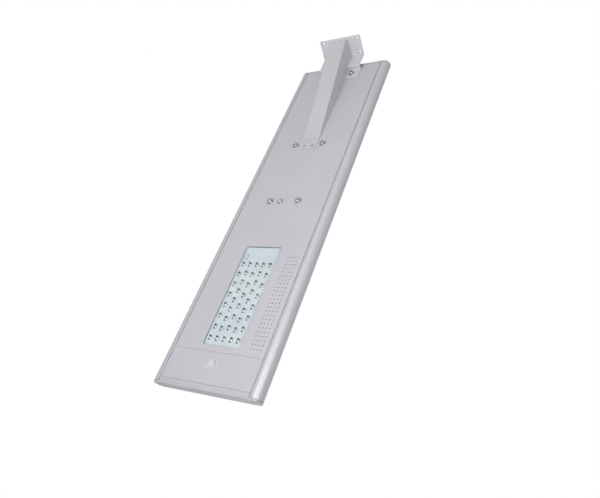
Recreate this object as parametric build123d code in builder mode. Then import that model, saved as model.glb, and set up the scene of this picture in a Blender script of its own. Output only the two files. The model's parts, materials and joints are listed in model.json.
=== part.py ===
"""All-in-one solar street lamp on a folded pole bracket, as separate sub-parts.

The lamp is drawn flat, in its own frame: X runs from the pole end to the foot, Y across,
and Z from the lamp face (z = 0) up to the solar face.  Every finished piece is then set
into the installed frame, where the bracket's pole plate stands upright, its bolt pattern
is centred on the origin, and the lamp slopes up and away from the pole.
"""
import math
import os

from build123d import *

os.makedirs("parts", exist_ok=True)

# --- Driving dimensions, mm -------------------------------------------------------------
body_length = 1266.0          # over both end caps
body_width = 370.0            # over both side rails
body_height = 40.0            # lamp face to rail top
edge_radius = body_height / 2
rail_wall = 2.5
web_in = 4.0                  # upright web to the centre of the rail's round
seat_w = 11.0                 # how far the cover rests on a rail
groove_lip = 1.0              # cover's edge to the groove beside it
upstand_t = 2.0               # thin wall between the glass and the rail's trough
rail_reveal = 31.0            # width of a rail that shows beside the cover
sheet_t = 2.0
cap_plate_t = 4.0
cap_bar = 17.0                # depth of an end cap's bar, from the lamp's end
gasket_t = 1.0
gap = 0.3                     # running gap between loose neighbours
hole_clear = 0.4              # a screw's hole past the screw, on the radius
screw_fit = 0.05              # a thread's bore past the screw, on the radius
seam = 0.6                    # visible joint between two covers

bracket_t = 4.0
bracket_w = 168.0
plate_len = 72.0
plate_angle = 66.0            # pole plate to lamp face
strip_lift = 20.0             # lamp face to the strip's outer face
strip_reach = 30.0            # how far the strip passes the lamp's end
riser_x = 31.0
flange_end = 80.0
hole_pitch_w = 140.0
hole_pitch_h = 50.0
hole_r = 4.5
hole_row = 37.2               # pattern centre from the plate's fold
rib_w = 64.0
rib_wall = 3.0
rib_end = 374.0               # rib toe, from the lamp's pole end
rib_top = 84.0                # rib height at the plate
rib_toe = 3.0
rib_foot_end = 420.0
rib_foot_t = 2.0

bolt_y = 53.7
bolt_rows = (54.0, 400.0, 644.0)
bolt_r = 4.0
bolt_head_r = 8.0
bolt_head_h = 7.0
washer_r = 12.0
washer_t = 2.0

lens_w = 128.0
lens_x0 = 818.0
lens_x1 = 1141.0
lens_flange = 6.0
dome_r = 9.0
dome_h = 5.0
led_x0 = 880.6
led_x1 = 1120.6
led_column = 24.8
led_counts = (8, 9, 8, 9, 8)
chip_size = 3.5
chip_t = 0.8
board_t = 1.6
heat_t = 3.0
heat_margin = 11.0

vent_x0 = 852.0
vent_x1 = 1138.0
vent_rows = 24
vent_columns = 4
vent_y = 119.6
vent_pitch_y = 11.4
vent_r = 2.2

seam_x = 1160.0
pir_x = 1196.0
pir_r = 13.0
pir_wall = 1.2

button_x = 645.0
button_y = 15.0
button_r = 6.0
button_travel = 2.0
switch_r = 8.0
bezel_len = 62.0
bezel_w = 34.0

glass_t = 3.2
backsheet_t = 0.4
cell_layer_t = 0.6
cell_len = 152.0
cell_w = 147.0
cell_gap = 2.5
cell_corner = 13.0
cell_rows = 8
cell_columns = 2
ledge_z = 34.0                # panel seat, up from the lamp face
ledge_t = 2.5
ledge_in = 145.0              # inner edge of the panel seat

battery_r = 13.1
battery_len = 65.5
battery_rows = 8
battery_columns = 3
cell_spacing = 0.8
battery_x = 522.0             # centre of the pack
tray_t = 1.5
tray_x0 = 385.0
tray_x1 = 660.0
tray_half_w = 114.0
tray_wall_h = 20.0

# --- Sizes that follow ------------------------------------------------------------------
cover_half = body_width / 2 - rail_reveal
rail_centre = body_width / 2 - edge_radius
web_y = rail_centre - web_in
rail_x0 = cap_plate_t + gasket_t
rail_len = body_length - 2 * rail_x0
seat_y0 = cover_half - seat_w # inner edge of the cover's seat on a rail
port_r = 4.5
port_sink = 1.0               # how far a screw port sinks into what carries it
screw_r = 2.0
port_a = (rail_centre + port_sink, body_height / 2)
port_b = (ledge_in + port_r + 0.5, ledge_z - ledge_t - port_r + port_sink)
glass_z = ledge_z + backsheet_t + cell_layer_t
glass_side_gap = 1.6
glass_end_gap = 2.0
glass_half = cover_half - glass_side_gap
glass_x0 = cap_plate_t + glass_end_gap
glass_len = body_length - 2 * glass_x0
mid_x = body_length / 2
lens_mid = (lens_x0 + lens_x1) / 2
lens_len = lens_x1 - lens_x0
lens_flange_t = 1.5
lens_back = sheet_t + lens_flange_t
lens_seal_t = 1.0
board_z = lens_back + lens_seal_t
heat_z = board_z + board_t
heat_back = heat_z + heat_t

# Installed frame: the pole plate upright, its bolt pattern centred on the origin.
fold_x = -strip_reach
fold_z = -strip_lift
half_t = bracket_t / 2
tilt = 90.0 - plate_angle
plate_dir = Vector(-1, 0, 0).rotate(Axis.Y, -plate_angle)
plate_normal = Vector(0, 0, 1).rotate(Axis.Y, -plate_angle) * -1
fold_mid = Vector(fold_x, 0, fold_z + half_t)
pattern_centre = fold_mid + plate_dir * hole_row - plate_normal * half_t
to_row = Location((0, 0, 0), (0, -tilt, 0)) * Location(-pattern_centre)


def save(piece, name):
    """Set a finished piece into the installed frame and write it."""
    placed = piece.moved(to_row)
    placed.label = name
    export_step(placed, f"parts/{name}.step")


def box(x0, x1, y0, y1, z0, z1, mode=Mode.ADD):
    """A block from its lowest to its highest corner, in the open part."""
    with Locations(((x0 + x1) / 2, (y0 + y1) / 2, (z0 + z1) / 2)):
        Box(x1 - x0, y1 - y0, z1 - z0, mode=mode)


def led_places():
    """Centres of the LEDs: five columns, the second and fourth a row longer."""
    places = []
    middle = (len(led_counts) - 1) / 2
    for column, count in enumerate(led_counts):
        pitch = (led_x1 - led_x0) / (count - 1)
        for row in range(count):
            places.append((led_x0 + row * pitch, (column - middle) * led_column))
    return places


def bolt_places(rows=bolt_rows):
    """Centres of the lamp face's bolts, a pair in each row."""
    return [(x, side * bolt_y) for x in rows for side in (-1, 1)]


# --- Side rails -------------------------------------------------------------------------
def rail_outline(inset, mode=Mode.ADD):
    """The rail's D: a half-round outer edge on an upright web, inset by a wall."""
    with BuildLine() as outline:
        Polyline((rail_centre, inset), (web_y + inset, inset),
                 (web_y + inset, body_height - inset), (rail_centre, body_height - inset))
        ThreePointArc((rail_centre, body_height - inset),
                      (body_width / 2 - inset, body_height / 2), (rail_centre, inset))
    make_face(outline.edges(), mode=mode)


def slab(y0, y1, z0, z1, mode=Mode.ADD):
    """A rectangle of a section across the lamp."""
    with Locations(((y0 + y1) / 2, (z0 + z1) / 2)):
        Rectangle(y1 - y0, z1 - z0, mode=mode)


seat_t = 4.0
groove_d = 2.0
upstand_lip = 0.6             # upstand above the glass
upstand_z = glass_z + glass_t + upstand_lip
trough_z = 37.0
edge_groove = 1.2

with BuildPart() as side_rail_left:
    with BuildSketch(Plane.YZ.offset(rail_x0)):
        rail_outline(0)
        rail_outline(rail_wall, Mode.SUBTRACT)
        slab(seat_y0, web_y + rail_wall, sheet_t, sheet_t + seat_t)
        slab(cover_half + groove_lip, web_y, sheet_t, sheet_t + groove_d, Mode.SUBTRACT)
        slab(ledge_in, web_y, ledge_z - ledge_t, ledge_z)
        slab(cover_half + upstand_t, web_y, ledge_z, trough_z)
        slab(cover_half, cover_half + upstand_t, ledge_z, upstand_z)
        with Locations(port_a, port_b):
            Circle(port_r)
        with Locations(port_a, port_b):
            Circle(screw_r + screw_fit, mode=Mode.SUBTRACT)
        with Locations((body_width / 2, body_height / 2)):
            Circle(edge_groove, mode=Mode.SUBTRACT)
    extrude(amount=rail_len)

with BuildPart() as side_rail_right:
    mirror(side_rail_left.part, about=Plane.XZ)

save(side_rail_left.part, "side_rail_left")
save(side_rail_right.part, "side_rail_right")

# --- End caps, their gaskets and screws -------------------------------------------------
screw_places = [(side * y, z) for side in (-1, 1) for y, z in (port_a, port_b)]
bar_half = cover_half - gap
cap_ledge_end = 16.0
cap_chamfer = 0.8

with BuildPart() as end_cap_pole:
    with BuildSketch(Plane.YZ):
        with Locations((0, body_height / 2)):
            SlotOverall(body_width, body_height)
        with Locations(screw_places):
            Circle(screw_r + hole_clear, mode=Mode.SUBTRACT)
    extrude(amount=cap_plate_t)
    chamfer(end_cap_pole.faces().sort_by(Axis.X)[0].outer_wire().edges(), cap_chamfer)
    box(cap_plate_t, cap_bar, -bar_half, bar_half, 0, sheet_t)
    box(cap_plate_t, cap_ledge_end, -ledge_in + gap, ledge_in - gap, ledge_z - ledge_t, ledge_z)

with BuildPart() as end_cap_foot:
    mirror(end_cap_pole.part, about=Plane.YZ.offset(mid_x))

with BuildPart() as end_gaskets:
    for x in (cap_plate_t, body_length - rail_x0):
        with BuildSketch(Plane.YZ.offset(x)):
            rail_outline(gap)
            rail_outline(rail_wall, Mode.SUBTRACT)
        extrude(amount=gasket_t)
    mirror(end_gaskets.part, about=Plane.XZ)

screw_len = 16.0
screw_head_r = 3.6
screw_head_h = 2.2
screw_head_round = 1.0
with BuildPart() as end_cap_screws:
    with BuildSketch(Plane.YZ):
        with Locations(screw_places):
            Circle(screw_head_r)
    extrude(amount=-screw_head_h)
    fillet(end_cap_screws.edges().group_by(Axis.X)[0], screw_head_round)
    with BuildSketch(Plane.YZ):
        with Locations(screw_places):
            Circle(screw_r)
    extrude(amount=screw_len)
    mirror(end_cap_screws.part, about=Plane.YZ.offset(mid_x))

save(end_cap_pole.part, "end_cap_pole")
save(end_cap_foot.part, "end_cap_foot")
save(end_gaskets.part, "end_gaskets")
save(end_cap_screws.part, "end_cap_screws")

# --- Lamp face: cover, foot cover and the joint bar behind them --------------------------
vent_pitch_x = (vent_x1 - vent_x0) / (vent_rows - 1)
vent_mid_x = (vent_x0 + vent_x1) / 2
cover_x0 = cap_bar + gap
cover_x1 = seam_x - seam / 2
corner_r = 5.0
foot_screw_x = 408.0
foot_screw_y = 16.0
foot_screw_r = 2.5
foot_screws = [(foot_screw_x, side * foot_screw_y) for side in (-1, 1)]
stud_r = 2.0
stud_clear = 2.3              # lens plate's flange to a stud
stud_y = lens_w / 2 + lens_flange + stud_r + stud_clear
stud_places = [(lens_mid + i * lens_len / 4, side * stud_y)
               for i in (-2, -1, 0, 1, 2) for side in (-1, 1)]
stud_reach = 4.5
stud_top = heat_back + stud_reach

with BuildPart() as bottom_cover:
    box(cover_x0, cover_x1, -cover_half + gap, cover_half - gap, 0, sheet_t)
    with BuildSketch():
        with Locations((lens_mid, 0)):
            RectangleRounded(lens_len + 2 * gap, lens_w + 2 * gap, corner_r + gap)
        with Locations((vent_mid_x, -vent_y)):
            with GridLocations(vent_pitch_x, vent_pitch_y, vent_rows, vent_columns):
                Circle(vent_r)
        with Locations(bolt_places()):
            Circle(bolt_r + hole_clear)
        with Locations(foot_screws):
            Circle(foot_screw_r + hole_clear)
        with Locations((button_x, button_y)):
            Circle(switch_r + hole_clear)
    extrude(amount=sheet_t, mode=Mode.SUBTRACT)

with BuildPart() as sensor_cover:
    box(seam_x + seam / 2, body_length - cover_x0, -cover_half + gap, cover_half - gap, 0, sheet_t)
    with Locations((pir_x, 0, sheet_t / 2)):
        Cylinder(pir_r + hole_clear, sheet_t, mode=Mode.SUBTRACT)

bar_w = 14.0
with BuildPart() as cover_joint_bar:
    box(seam_x - bar_w / 2, seam_x + bar_w / 2, -seat_y0 + 1, seat_y0 - 1, sheet_t, 2 * sheet_t)

mesh_t = 0.4
mesh_end = 6.0                # mesh past the first and last row of vents
mesh_side = 2.3               # mesh past the innermost column's rims
vent_inner = vent_y - vent_pitch_y * (vent_columns - 1) / 2 - vent_r
with BuildPart() as vent_mesh:
    box(vent_x0 - mesh_end, vent_x1 + mesh_end, -seat_y0 + gap, -vent_inner + mesh_side,
        sheet_t, sheet_t + mesh_t)

save(bottom_cover.part, "bottom_cover")
save(sensor_cover.part, "sensor_cover")
save(cover_joint_bar.part, "cover_joint_bar")
save(vent_mesh.part, "vent_mesh")

# --- LED module: lens plate, seal, board, LEDs, heat plate, studs and nuts ---------------
with BuildPart() as lens_dome:
    with BuildSketch(Plane.XZ):
        with BuildLine():
            EllipticalCenterArc((0, 0), dome_r, dome_h, start_angle=-90, arc_size=90)
            Polyline((dome_r, 0), (0, 0), (0, -dome_h))
        make_face()
    revolve(axis=Axis.Z)

with BuildPart() as lens_plate:
    with BuildSketch(Plane.XY.offset(gap)):
        with Locations((lens_mid, 0)):
            RectangleRounded(lens_len, lens_w, corner_r)
    extrude(amount=lens_back - gap)
    with BuildSketch(Plane.XY.offset(sheet_t)):
        with Locations((lens_mid, 0)):
            RectangleRounded(lens_len + 2 * lens_flange, lens_w + 2 * lens_flange, corner_r)
    extrude(amount=lens_back - sheet_t)
    with Locations([(x, y, gap) for x, y in led_places()]):
        add(lens_dome.part)

seal_in = 2.0                 # seal inside the plate's visible edge
with BuildPart() as lens_seal:
    with BuildSketch(Plane.XY.offset(lens_back)):
        with Locations((lens_mid, 0)):
            RectangleRounded(lens_len + 2 * lens_flange, lens_w + 2 * lens_flange, corner_r)
            RectangleRounded(lens_len - 2 * seal_in, lens_w - 2 * seal_in, corner_r,
                             mode=Mode.SUBTRACT)
    extrude(amount=lens_seal_t)

with BuildPart() as led_board:
    with BuildSketch(Plane.XY.offset(board_z)):
        with Locations((lens_mid, 0)):
            RectangleRounded(lens_len + 2 * lens_flange, lens_w + 2 * lens_flange, corner_r)
    extrude(amount=board_t)

with BuildPart() as led_chips:
    with Locations([(x, y, board_z - chip_t / 2) for x, y in led_places()]):
        Box(chip_size, chip_size, chip_t)

led_entry = (832.0, 30.0)
entry_r = 4.0
heat_side = 5.0               # heat plate past the studs' centres
with BuildPart() as heat_plate:
    with BuildSketch(Plane.XY.offset(heat_z)):
        with Locations((lens_mid, 0)):
            Rectangle(lens_len + 2 * heat_margin, 2 * (stud_y + heat_side))
        with Locations(stud_places):
            Circle(stud_r + hole_clear, mode=Mode.SUBTRACT)
        with Locations(led_entry):
            Circle(entry_r, mode=Mode.SUBTRACT)
    extrude(amount=heat_t)

spacer_r = 4.0
with BuildPart() as cover_studs:
    with BuildSketch(Plane.XY.offset(sheet_t)):
        with Locations(stud_places):
            Circle(spacer_r)
    extrude(amount=heat_z - sheet_t)
    with BuildSketch(Plane.XY.offset(heat_z)):
        with Locations(stud_places):
            Circle(stud_r)
    extrude(amount=stud_top - heat_z)

nut_flats = 7.0
nut_t = 3.2
with BuildPart() as led_nuts:
    with BuildSketch(Plane.XY.offset(heat_back)):
        with Locations(stud_places):
            RegularPolygon(nut_flats / 2, 6, major_radius=False)
            Circle(stud_r + screw_fit, mode=Mode.SUBTRACT)
    extrude(amount=nut_t)

lead_r = 0.45
lead_z = board_z - lead_r
lead_start = 22.0             # from the lens plate's pole-side edge
lead_len = 26.0
with BuildPart() as led_leads:
    for y in (46.0, 56.0):
        with BuildSketch(Plane.YZ.offset(lens_x0 + lead_start)):
            with Locations((y, lead_z)):
                Circle(lead_r)
        extrude(amount=lead_len)

save(lens_plate.part, "lens_plate")
save(lens_seal.part, "lens_seal")
save(led_board.part, "led_board")
save(led_chips.part, "led_chips")
save(heat_plate.part, "heat_plate")
save(cover_studs.part, "cover_studs")
save(led_nuts.part, "led_nuts")
save(led_leads.part, "led_leads")

# --- Motion sensor ----------------------------------------------------------------------
pir_flange_r = pir_r + 3.0
pir_flange_t = 1.5
pir_ring_t = 1.6
pir_board_half = 20.0
with BuildPart() as pir_dome:
    with BuildSketch(Plane.XZ):
        with BuildLine():
            CenterArc((0, 0), pir_r, -90, 90)
            Polyline((pir_r, 0), (pir_r, sheet_t), (pir_flange_r, sheet_t),
                     (pir_flange_r, sheet_t + pir_flange_t),
                     (pir_r - pir_wall, sheet_t + pir_flange_t), (pir_r - pir_wall, 0))
            CenterArc((0, 0), pir_r - pir_wall, -90, 90)
            Line((0, -pir_r), (0, -pir_r + pir_wall))
        make_face()
    revolve(axis=Axis.Z)

ring_r = pir_r + 3.5
with BuildPart() as pir_ring:
    with BuildSketch(Plane.XY):
        Circle(ring_r)
        Circle(pir_r + gap, mode=Mode.SUBTRACT)
    extrude(amount=-pir_ring_t)
    chamfer(pir_ring.edges().group_by(Axis.Z)[0].sort_by(SortBy.LENGTH)[-1], 1.0)

board_h = 14.0
pir_base = sheet_t + pir_flange_t
with BuildPart() as pir_housing:
    with BuildSketch(Plane.XY.offset(pir_base)):
        Circle(pir_flange_r)
        Circle(pir_r - pir_wall, mode=Mode.SUBTRACT)
    extrude(amount=board_h - pir_base)

with BuildPart() as pir_board:
    box(-pir_board_half, pir_board_half, -pir_board_half, pir_board_half,
        board_h, board_h + board_t)

can_base_r = 4.6
can_base_t = 0.8
can_r = 4.1
can_h = 3.6
with BuildPart() as pir_sensor:
    with BuildSketch(Plane.XY.offset(board_h)):
        Circle(can_base_r)
    extrude(amount=-can_base_t)
    with BuildSketch(Plane.XY.offset(board_h - can_base_t)):
        Circle(can_r)
    extrude(amount=-can_h)

pir_seat = Location((pir_x, 0, 0))
for piece, name in ((pir_dome, "pir_dome"), (pir_ring, "pir_ring"), (pir_housing, "pir_housing"),
                    (pir_board, "pir_board"), (pir_sensor, "pir_sensor")):
    save(piece.part.moved(pir_seat), name)

# --- Power switch: bezel, body, nut, contact block and the travelling button -------------
bezel_t = 1.2
switch_flange_r = 11.0
flange_t = 1.5
body_depth = 16.0
button_proud = 3.0
button_len = 7.0
pocket_z = 6.5
stem_r = 2.0
rim = -bezel_t - flange_t
with BuildPart() as switch_bezel:
    with BuildSketch(Plane.XY):
        SlotOverall(bezel_len, bezel_w)
        Circle(switch_r + hole_clear, mode=Mode.SUBTRACT)
    extrude(amount=-bezel_t)
    chamfer(switch_bezel.faces().sort_by(Axis.Z)[0].outer_wire().edges(), 0.8)

with BuildPart() as switch_body:
    with BuildSketch(Plane.XY.offset(-bezel_t)):
        Circle(switch_flange_r)
    extrude(amount=-flange_t)
    chamfer(switch_body.edges().group_by(Axis.Z)[0], 0.5)
    with BuildSketch(Plane.XY.offset(-bezel_t)):
        Circle(switch_r)
    extrude(amount=body_depth)
    with BuildSketch(Plane.XY.offset(rim)):
        Circle(button_r + gap)
    extrude(amount=pocket_z - rim, mode=Mode.SUBTRACT)
    with BuildSketch(Plane.XY.offset(pocket_z)):
        Circle(stem_r + gap)
    extrude(amount=body_depth, mode=Mode.SUBTRACT)

switch_nut_flats = 22.0
switch_nut_t = 4.0
with BuildPart() as switch_nut:
    with BuildSketch(Plane.XY.offset(sheet_t + tray_t)):
        RegularPolygon(switch_nut_flats / 2, 6, major_radius=False)
        Circle(switch_r + screw_fit, mode=Mode.SUBTRACT)
    extrude(amount=switch_nut_t)

contact_z = body_depth - bezel_t
contact_h = 6.0
with BuildPart() as switch_contacts:
    with BuildSketch(Plane.XY.offset(contact_z)):
        Circle(switch_r - 1)
    extrude(amount=contact_h)

button_face = rim - button_proud
with BuildPart() as power_button:
    with BuildSketch(Plane.XY.offset(button_face)):
        Circle(button_r)
    extrude(amount=button_len)
    fillet(power_button.edges().group_by(Axis.Z)[0], 1.0)
    with BuildSketch(Plane.XY.offset(button_face + button_len)):
        Circle(stem_r)
    extrude(amount=contact_z - button_travel - gap - button_face - button_len)

button_seat = Location((button_x, button_y, 0))
for piece, name in ((switch_bezel, "switch_bezel"), (switch_body, "switch_body"),
                    (switch_nut, "switch_nut"), (switch_contacts, "switch_contacts"),
                    (power_button, "power_button")):
    save(piece.part.moved(button_seat), name)

# --- Solar panel ------------------------------------------------------------------------
with BuildPart() as solar_glass:
    with BuildSketch(Plane.XY.offset(glass_z)):
        with Locations((mid_x, 0)):
            Rectangle(glass_len, 2 * glass_half)
    extrude(amount=glass_t)
    chamfer(solar_glass.faces().sort_by(Axis.Z)[-1].outer_wire().edges(), 0.6)

pitch_len = cell_len + cell_gap
pitch_w = cell_w + cell_gap
ribbon_t = 0.2
ribbon_w = 1.6
ribbon_in = 3.0               # a ribbon's end from the cell's edge
cell_t = cell_layer_t - ribbon_t
cell_z = ledge_z + backsheet_t
with BuildPart() as solar_cells:
    with BuildSketch(Plane.XY.offset(cell_z)) as cell_face:
        with Locations((mid_x, 0)):
            with GridLocations(pitch_len, pitch_w, cell_rows, cell_columns):
                Rectangle(cell_len, cell_w)
        chamfer(cell_face.vertices(), cell_corner)
    extrude(amount=cell_t)

with BuildPart() as encapsulant:
    with BuildSketch(Plane.XY.offset(cell_z)):
        with Locations((mid_x, 0)):
            Rectangle(glass_len, 2 * glass_half)
        add(cell_face.sketch, mode=Mode.SUBTRACT)
    extrude(amount=cell_layer_t)

with BuildPart() as cell_ribbons:
    with BuildSketch(Plane.XY.offset(cell_z + cell_t)):
        with Locations((mid_x, 0)):
            with GridLocations(pitch_len, pitch_w, cell_rows, cell_columns):
                with GridLocations(1, cell_w / 2, 1, 2):
                    Rectangle(cell_len - 2 * ribbon_in, ribbon_w)
    extrude(amount=ribbon_t)

with BuildPart() as panel_backsheet:
    with BuildSketch(Plane.XY.offset(ledge_z)):
        with Locations((mid_x, 0)):
            Rectangle(glass_len, 2 * glass_half)
    extrude(amount=backsheet_t)

with BuildPart() as panel_seal:
    with BuildSketch(Plane.XY.offset(ledge_z)):
        with Locations((mid_x, 0)):
            Rectangle(body_length - 2 * cap_plate_t - 2 * gap, 2 * cover_half - 2 * gap)
            Rectangle(glass_len, 2 * glass_half, mode=Mode.SUBTRACT)
    extrude(amount=glass_z + glass_t - upstand_lip - ledge_z)

junction_x0 = 150.0
junction_x1 = 215.0
junction_half = 28.0
junction_h = 14.0
junction_round = 4.0
with BuildPart() as panel_junction_box:
    box(junction_x0, junction_x1, -junction_half, junction_half, ledge_z - junction_h, ledge_z)
    fillet(panel_junction_box.edges().filter_by(Axis.Z), junction_round)

save(solar_glass.part, "solar_glass")
save(solar_cells.part, "solar_cells")
save(encapsulant.part, "encapsulant")
save(cell_ribbons.part, "cell_ribbons")
save(panel_backsheet.part, "panel_backsheet")
save(panel_seal.part, "panel_seal")
save(panel_junction_box.part, "panel_junction_box")

# --- Battery pack -----------------------------------------------------------------------
tray_z = sheet_t
battery_z = tray_z + tray_t + battery_r
battery_pitch = 2 * battery_r + cell_spacing
battery_step = battery_len + 0.5
battery_span = battery_columns * battery_step
nut_clear_r = switch_r + hole_clear
with BuildPart() as battery_tray:
    box(tray_x0, tray_x1, -tray_half_w, tray_half_w, tray_z, tray_z + tray_t)
    for side in (-1, 1):
        y = side * (tray_half_w - tray_t / 2)
        box(tray_x0, tray_x1, y - tray_t / 2, y + tray_t / 2, tray_z + tray_t, tray_z + tray_wall_h)
    with BuildSketch(Plane.XY.offset(tray_z)):
        with Locations(bolt_places(bolt_rows[1:])):
            Circle(bolt_r + hole_clear)
        with Locations(foot_screws):
            Circle(foot_screw_r + hole_clear)
        with Locations((button_x, button_y)):
            Circle(nut_clear_r)
    extrude(amount=tray_t, mode=Mode.SUBTRACT)

with BuildPart() as battery_cells:
    with Locations((battery_x, 0, battery_z)):
        with GridLocations(battery_step, battery_pitch, battery_columns, battery_rows):
            Cylinder(battery_r, battery_len, rotation=(0, 90, 0))

link_t = 0.5
link_half_h = 7.0
pack_half = (battery_span - battery_step + battery_len) / 2
link_half_w = battery_rows * battery_pitch / 2 - 6.0
with BuildPart() as battery_links:
    for side in (-1, 1):
        x = battery_x + side * (pack_half + link_t / 2)
        box(x - link_t / 2, x + link_t / 2, -link_half_w, link_half_w,
            battery_z - link_half_h, battery_z + link_half_h)

strap_t = 1.0
strap_w = 15.0
strap_top = battery_z + battery_r + gap
strap_y = battery_rows * battery_pitch / 2 + 1.0
strap_x = 45.0                # each strap from the pack's centre
with BuildPart() as battery_straps:
    for x in (battery_x - strap_x, battery_x + strap_x):
        box(x - strap_w / 2, x + strap_w / 2, -strap_y, strap_y, strap_top, strap_top + strap_t)
        for side in (-1, 1):
            y = side * (strap_y + strap_t / 2)
            box(x - strap_w / 2, x + strap_w / 2, y - strap_t / 2, y + strap_t / 2,
                tray_z + tray_t, strap_top + strap_t)

save(battery_tray.part, "battery_tray")
save(battery_cells.part, "battery_cells")
save(battery_links.part, "battery_links")
save(battery_straps.part, "battery_straps")

# --- Battery guard board and charge controller -------------------------------------------
guard_x = 320.0
guard_half_len = 30.0
guard_half_w = 50.0
post_r = 3.5
post_h = 5.0
post_places = [(guard_x + i * 24, j * 42) for i in (-1, 1) for j in (-1, 1)]
with BuildPart() as guard_posts:
    with BuildSketch(Plane.XY.offset(sheet_t)):
        with Locations(post_places):
            Circle(post_r)
    extrude(amount=post_h)

with BuildPart() as guard_board:
    box(guard_x - guard_half_len, guard_x + guard_half_len, -guard_half_w, guard_half_w,
        sheet_t + post_h, sheet_t + post_h + board_t)

case_x0 = 700.0
case_x1 = 790.0
case_half = 60.0
case_h = 24.0
case_t = 2.0
case_mid = (case_x0 + case_x1) / 2
case_screws = [(case_mid + i * 38, j * 53) for i in (-1, 1) for j in (-1, 1)]
case_lid_z = sheet_t + case_h
lid_screw_r = 1.5
lid_screw_len = 12.0
lid_head_r = 2.8
lid_head_h = 1.8
pillar_r = 4.5
with BuildPart() as controller_case:
    box(case_x0, case_x1, -case_half, case_half, sheet_t, case_lid_z)
    box(case_x0 + case_t, case_x1 - case_t, -case_half + case_t, case_half - case_t,
        sheet_t + case_t, case_lid_z, Mode.SUBTRACT)
    with BuildSketch(Plane.XY.offset(sheet_t + case_t)):
        with Locations(case_screws):
            Circle(pillar_r)
            Circle(lid_screw_r + screw_fit, mode=Mode.SUBTRACT)
    extrude(amount=case_h - case_t)

with BuildPart() as controller_lid:
    box(case_x0, case_x1, -case_half, case_half, case_lid_z, case_lid_z + case_t)
    with BuildSketch(Plane.XY.offset(case_lid_z)):
        with Locations(case_screws):
            Circle(lid_screw_r + hole_clear)
    extrude(amount=case_t, mode=Mode.SUBTRACT)

board_in = 6.0                # board's ends from the case's outside
board_half = 46.0
board_stack = 4.0             # board with its low components
with BuildPart() as controller_board:
    box(case_x0 + board_in, case_x1 - board_in, -board_half, board_half,
        sheet_t + case_t, sheet_t + case_t + board_stack)

with BuildPart() as controller_screws:
    with BuildSketch(Plane.XY.offset(case_lid_z + case_t)):
        with Locations(case_screws):
            Circle(lid_head_r)
    extrude(amount=lid_head_h)
    with BuildSketch(Plane.XY.offset(case_lid_z + case_t)):
        with Locations(case_screws):
            Circle(lid_screw_r)
    extrude(amount=-lid_screw_len)

save(guard_posts.part, "guard_posts")
save(guard_board.part, "guard_board")
save(controller_case.part, "controller_case")
save(controller_lid.part, "controller_lid")
save(controller_board.part, "controller_board")
save(controller_screws.part, "controller_screws")

# --- Internal cables, each along its real route ------------------------------------------
def turn_radius(before, corner, after):
    """The largest arc that two runs allow: 0.45 of the shorter over tan of half the turn."""
    first = Vector(*corner) - Vector(*before)
    second = Vector(*after) - Vector(*corner)
    turn = first.get_angle(second)
    return 0.45 * min(first.length, second.length) / math.tan(math.radians(turn / 2))


def cable(points, diameter, name):
    """A round cable along straight runs joined by tangent arcs."""
    radii = [turn_radius(*points[i - 1:i + 2]) for i in range(1, len(points) - 1)]
    with BuildPart() as tube:
        with BuildLine() as path:
            FilletPolyline(*points, radius=radii)
        route = path.wires()[0]
        with BuildSketch(Plane(origin=route @ 0, z_dir=route % 0)):
            Circle(diameter / 2)
        sweep(path=route)
    section = math.pi * diameter ** 2 / 4
    print(name, "radii", [round(r, 1) for r in radii], "length", round(route.length, 1),
          "volume ratio", round(tube.part.volume / (section * route.length), 4))
    save(tube.part, name)


link_x = battery_x + pack_half + link_t
cable([(link_x, -28, 16), (638, -28, 16), (658, -25, 17), (680, -21, 15), (case_x0, -21, 15)],
      5.0, "battery_cable")
cable([(junction_x1, 8, 26), (240, 8, 26), (270, 28, 22), (302, 62, 16), (338, 98, 12),
       (378, 121, 9.5), (428, 129, 8.5), (482, 131.5, 8.5), (540, 132, 9), (596, 130, 9),
       (646, 124, 9.5), (690, 112, 11), (728, 96, 13), (744, 77, 14), (744, case_half, 14)],
      5.0, "panel_cable")
cable([(case_x1, 18, 19), (803, 18, 19), (818, 22, 19.5), (*led_entry, 17), (*led_entry, heat_z)],
      2.4, "led_cable")
cable([(case_x1, -36, 15), (808, -36, 15), (832, -54, 14), (862, -72, 12), (906, -86, 10),
       (960, -89.5, 9), (1016, -90.5, 8.5), (1072, -91, 9), (1124, -88, 10), (1162, -74, 12),
       (1186, -50, 14), (1190, -34, board_h + board_t / 2), (1190, -20, board_h + board_t / 2)],
      3.0, "sensor_cable")

# --- Pole bracket: folded plate, wedge rib, bolts, washers, nuts and backing plate --------
fold_r = 5.0
plate_end = fold_mid + plate_dir * plate_len
mid_x_riser = riser_x - half_t
with BuildPart() as bracket_plate:
    with BuildSketch(Plane.XZ):
        with BuildLine():
            FilletPolyline((flange_end, -half_t), (mid_x_riser, -half_t),
                           (mid_x_riser, fold_mid.Z), (fold_mid.X, fold_mid.Z),
                           (plate_end.X, plate_end.Z), radius=fold_r)
        trace(line_width=bracket_t)
    extrude(amount=bracket_w / 2, both=True)
    with Locations(Plane(origin=pattern_centre, x_dir=plate_dir, z_dir=plate_normal)):
        with GridLocations(hole_pitch_h, hole_pitch_w, 2, 2):
            Hole(hole_r, depth=3 * bracket_t)
    with BuildSketch(Plane.XY):
        with Locations(bolt_places(bolt_rows[:1])):
            Circle(bolt_r + hole_clear)
    extrude(amount=-bracket_t, mode=Mode.SUBTRACT)

save(bracket_plate.part, "bracket_plate")


def plate_point(along):
    """A point on the pole plate's lamp side, measured from the fold."""
    point = fold_mid + plate_dir * along + plate_normal * half_t
    return (point.X, point.Z)


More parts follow.
